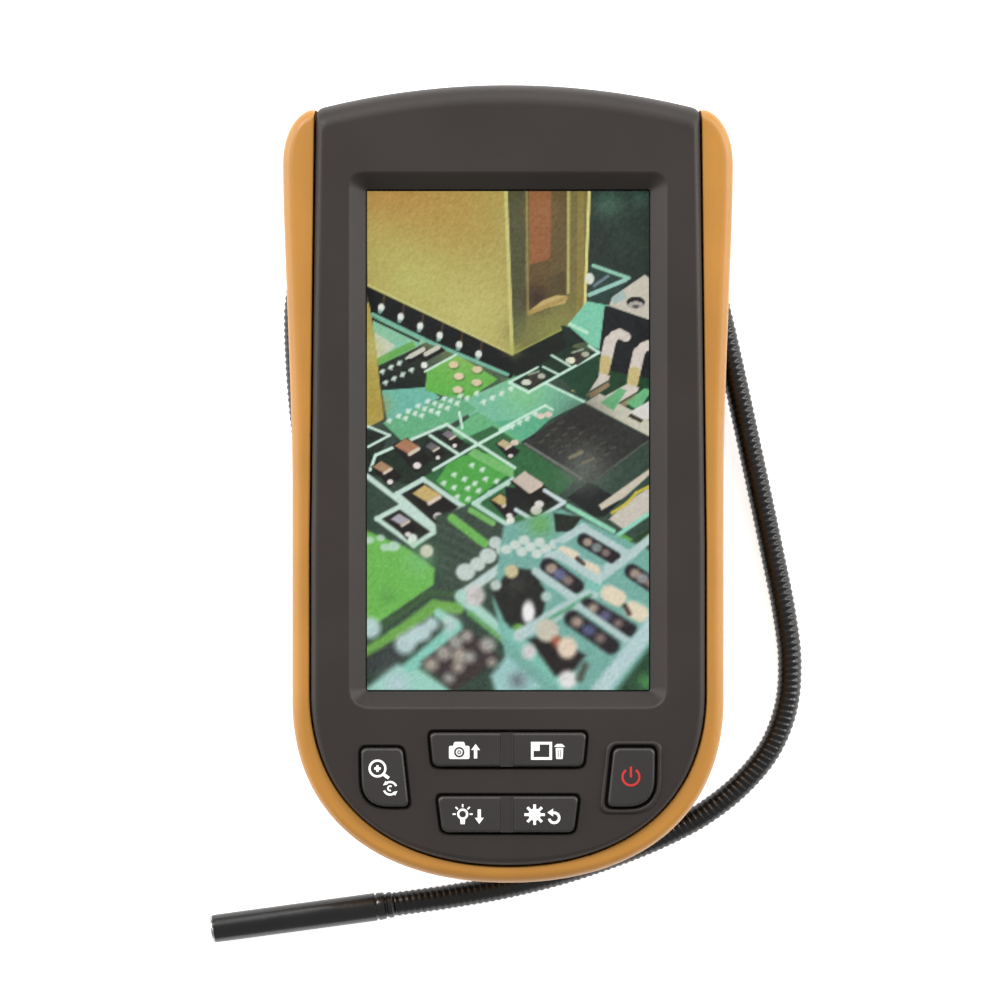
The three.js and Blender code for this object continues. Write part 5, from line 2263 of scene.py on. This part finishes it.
        self.blob(36.3, 86, 1, (190, 104, 76), 1, 0.9)
        self.blob(38.2, 87.2, 1.9, (232, 212, 190), 1.1)
        self.blob(30.9, 87.9, 1.3, (216, 210, 210), 1.1)
        self.blob(38.3, 93.2, 1.75, (232, 230, 228))
        self.bar((41.6, 90.6), (40.6, 93), 1.2, (74, 78, 66))
        self.patch([(26.6, 88.6), (33, 94.6), (30, 96), (24.6, 96), (23.6, 92.6)], (160, 206, 202))
        self.shade(28.8, 93.4, 1.7, (104, 110, 120), 0.8)
        self.bar((44.4, 95.4), (55, 82.2), 3.2, (186, 212, 214))
        self.patch([(47.2, 96), (55, 85.8), (55, 96)], (44, 74, 54))
        self.shade(53.2, 93.6, 1.6, (84, 150, 84), 0.8)


@dataclass
class Screen:
    """The live picture, a lit sheet on the panel's face."""

    middle: float = 8.25
    level: float = 27.9
    thickness: float = 0.06

    def build(self) -> None:
        """Makes the picture as a fine sheet whose points carry the colours."""
        picture = BoardPicture()
        colours = picture.paint()
        rows, columns = colours.shape[:2]
        x = picture.across - picture.width / 2
        y = self.middle + picture.height / 2 - picture.down
        top = np.column_stack([x.ravel(), y.ravel(), np.full(x.size, self.level + self.thickness)])
        index = np.arange(rows * columns).reshape(rows, columns)
        corners = [index[1:, :-1], index[1:, 1:], index[:-1, 1:], index[:-1, :-1]]
        faces = np.stack([corner.ravel() for corner in corners], 1).tolist()
        rim = [*index[0, :], *index[1:, -1], *index[-1, -2::-1], *index[-2:0:-1, 0]]
        under = top[rim] - np.array([0, 0, self.thickness])
        first = len(top)
        count = len(rim)
        for k in range(count):
            following = (k + 1) % count
            faces.append([int(rim[k]), int(rim[following]), first + following, first + k])
        faces.append([first + k for k in range(count - 1, -1, -1)])
        mesh = bpy.data.meshes.new("screen_picture")
        mesh.from_pydata((np.concatenate([top, under]) * MM).tolist(), [], faces)
        painted = np.ones((first + count, 4), np.float32)
        painted[:first, :3] = colours.reshape(-1, 3)
        painted[first:, :3] = 0.0
        layer = mesh.color_attributes.new("picture", "FLOAT_COLOR", "POINT")
        layer.data.foreach_set("color", painted.ravel())
        sheet = bpy.data.objects.new("screen_picture", mesh)
        bpy.context.scene.collection.objects.link(sheet)
        mesh.materials.append(self.glow())
        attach(sheet, UNIT)
        LOG.info("screen picture: %d by %d points", columns, rows)

    def glow(self) -> bpy.types.Material:
        """Makes the picture's material, which gives light of its own."""
        tree = ShaderTree("live_picture")
        shown = tree.node("ShaderNodeVertexColor", {"layer_name": "picture"})
        return tree.principled(
            Base_Color=(0.01, 0.01, 0.01),
            Roughness=0.5,
            Specular_IOR_Level=0.05,
            Emission_Color=shown,
            Emission_Strength=1.0,
        )


# ---- inner pieces


@dataclass
class InnerPieces:
    """CAD pieces that keep their shape and only get a finish."""

    finishes: tuple[tuple[Finish, tuple[str, ...]], ...] = (
        (Finish.RUBBER, ("screen_gasket", "keypad_mat", "probe_gland")),
        (Finish.SHEET, ("lcd_tray", "shield_can", "usb_socket", "card_socket")),
        (Finish.BOARD, ("main_board", "key_board", "sensor_module")),
        (Finish.CHIP, ("memory_chip", "power_coil", "memory_card", "lens_barrel")),
        (Finish.CELL, ("clock_cell",)),
        (Finish.FILM, ("screen_ribbon",)),
        (Finish.NYLON, ("probe_plug",)),
        (Finish.WRAP, ("battery_pack",)),
        (Finish.BRASS, ("battery_spring",)),
        (Finish.LED, ("led_ring",)),
        (Finish.BORDER, ("lcd_panel",)),
        (Finish.WINDOW, ("screen_window", "head_window")),
        (Finish.HOUSING, ("battery_door", "wrap_plate", "rear_housing")),
    )
    repeated: tuple[tuple[str, int, Finish], ...] = (
        ("key_switch", 6, Finish.CELL),
        ("board_screw", 4, Finish.SCREW),
        ("housing_screw", 4, Finish.SCREW),
        ("wrap_screw", 4, Finish.SCREW),
        ("foot", 4, Finish.FOOT),
    )

    def dress(self, nodes: dict[str, Piece]) -> None:
        """Gives each of these CAD nodes its finish.

        Args:
            nodes: The frame's nodes by name.
        """
        every = {name: finish for finish, names in self.finishes for name in names}
        for prefix, count, finish in self.repeated:
            for number in range(1, count + 1):
                every[f"{prefix}_{number}"] = finish
        for name, finish in every.items():
            finish.dress(nodes[name])
            smoothed(nodes[name], 35)
        LOG.info("inner pieces: %d finishes", len(every))


# ---- main


def main() -> None:
    """Builds the whole scene round the frame."""
    logging.basicConfig(level=logging.INFO, format="%(message)s")
    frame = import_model()
    Studio().build()
    head = ProbeHead().build()
    Gooseneck().build(head)
    FrontHousing().build()
    Bumper().build()
    Keys().build()
    PortCover().build()
    Screen().build()
    InnerPieces().dress(frame["nodes"])


if __name__ == "__main__":
    main()
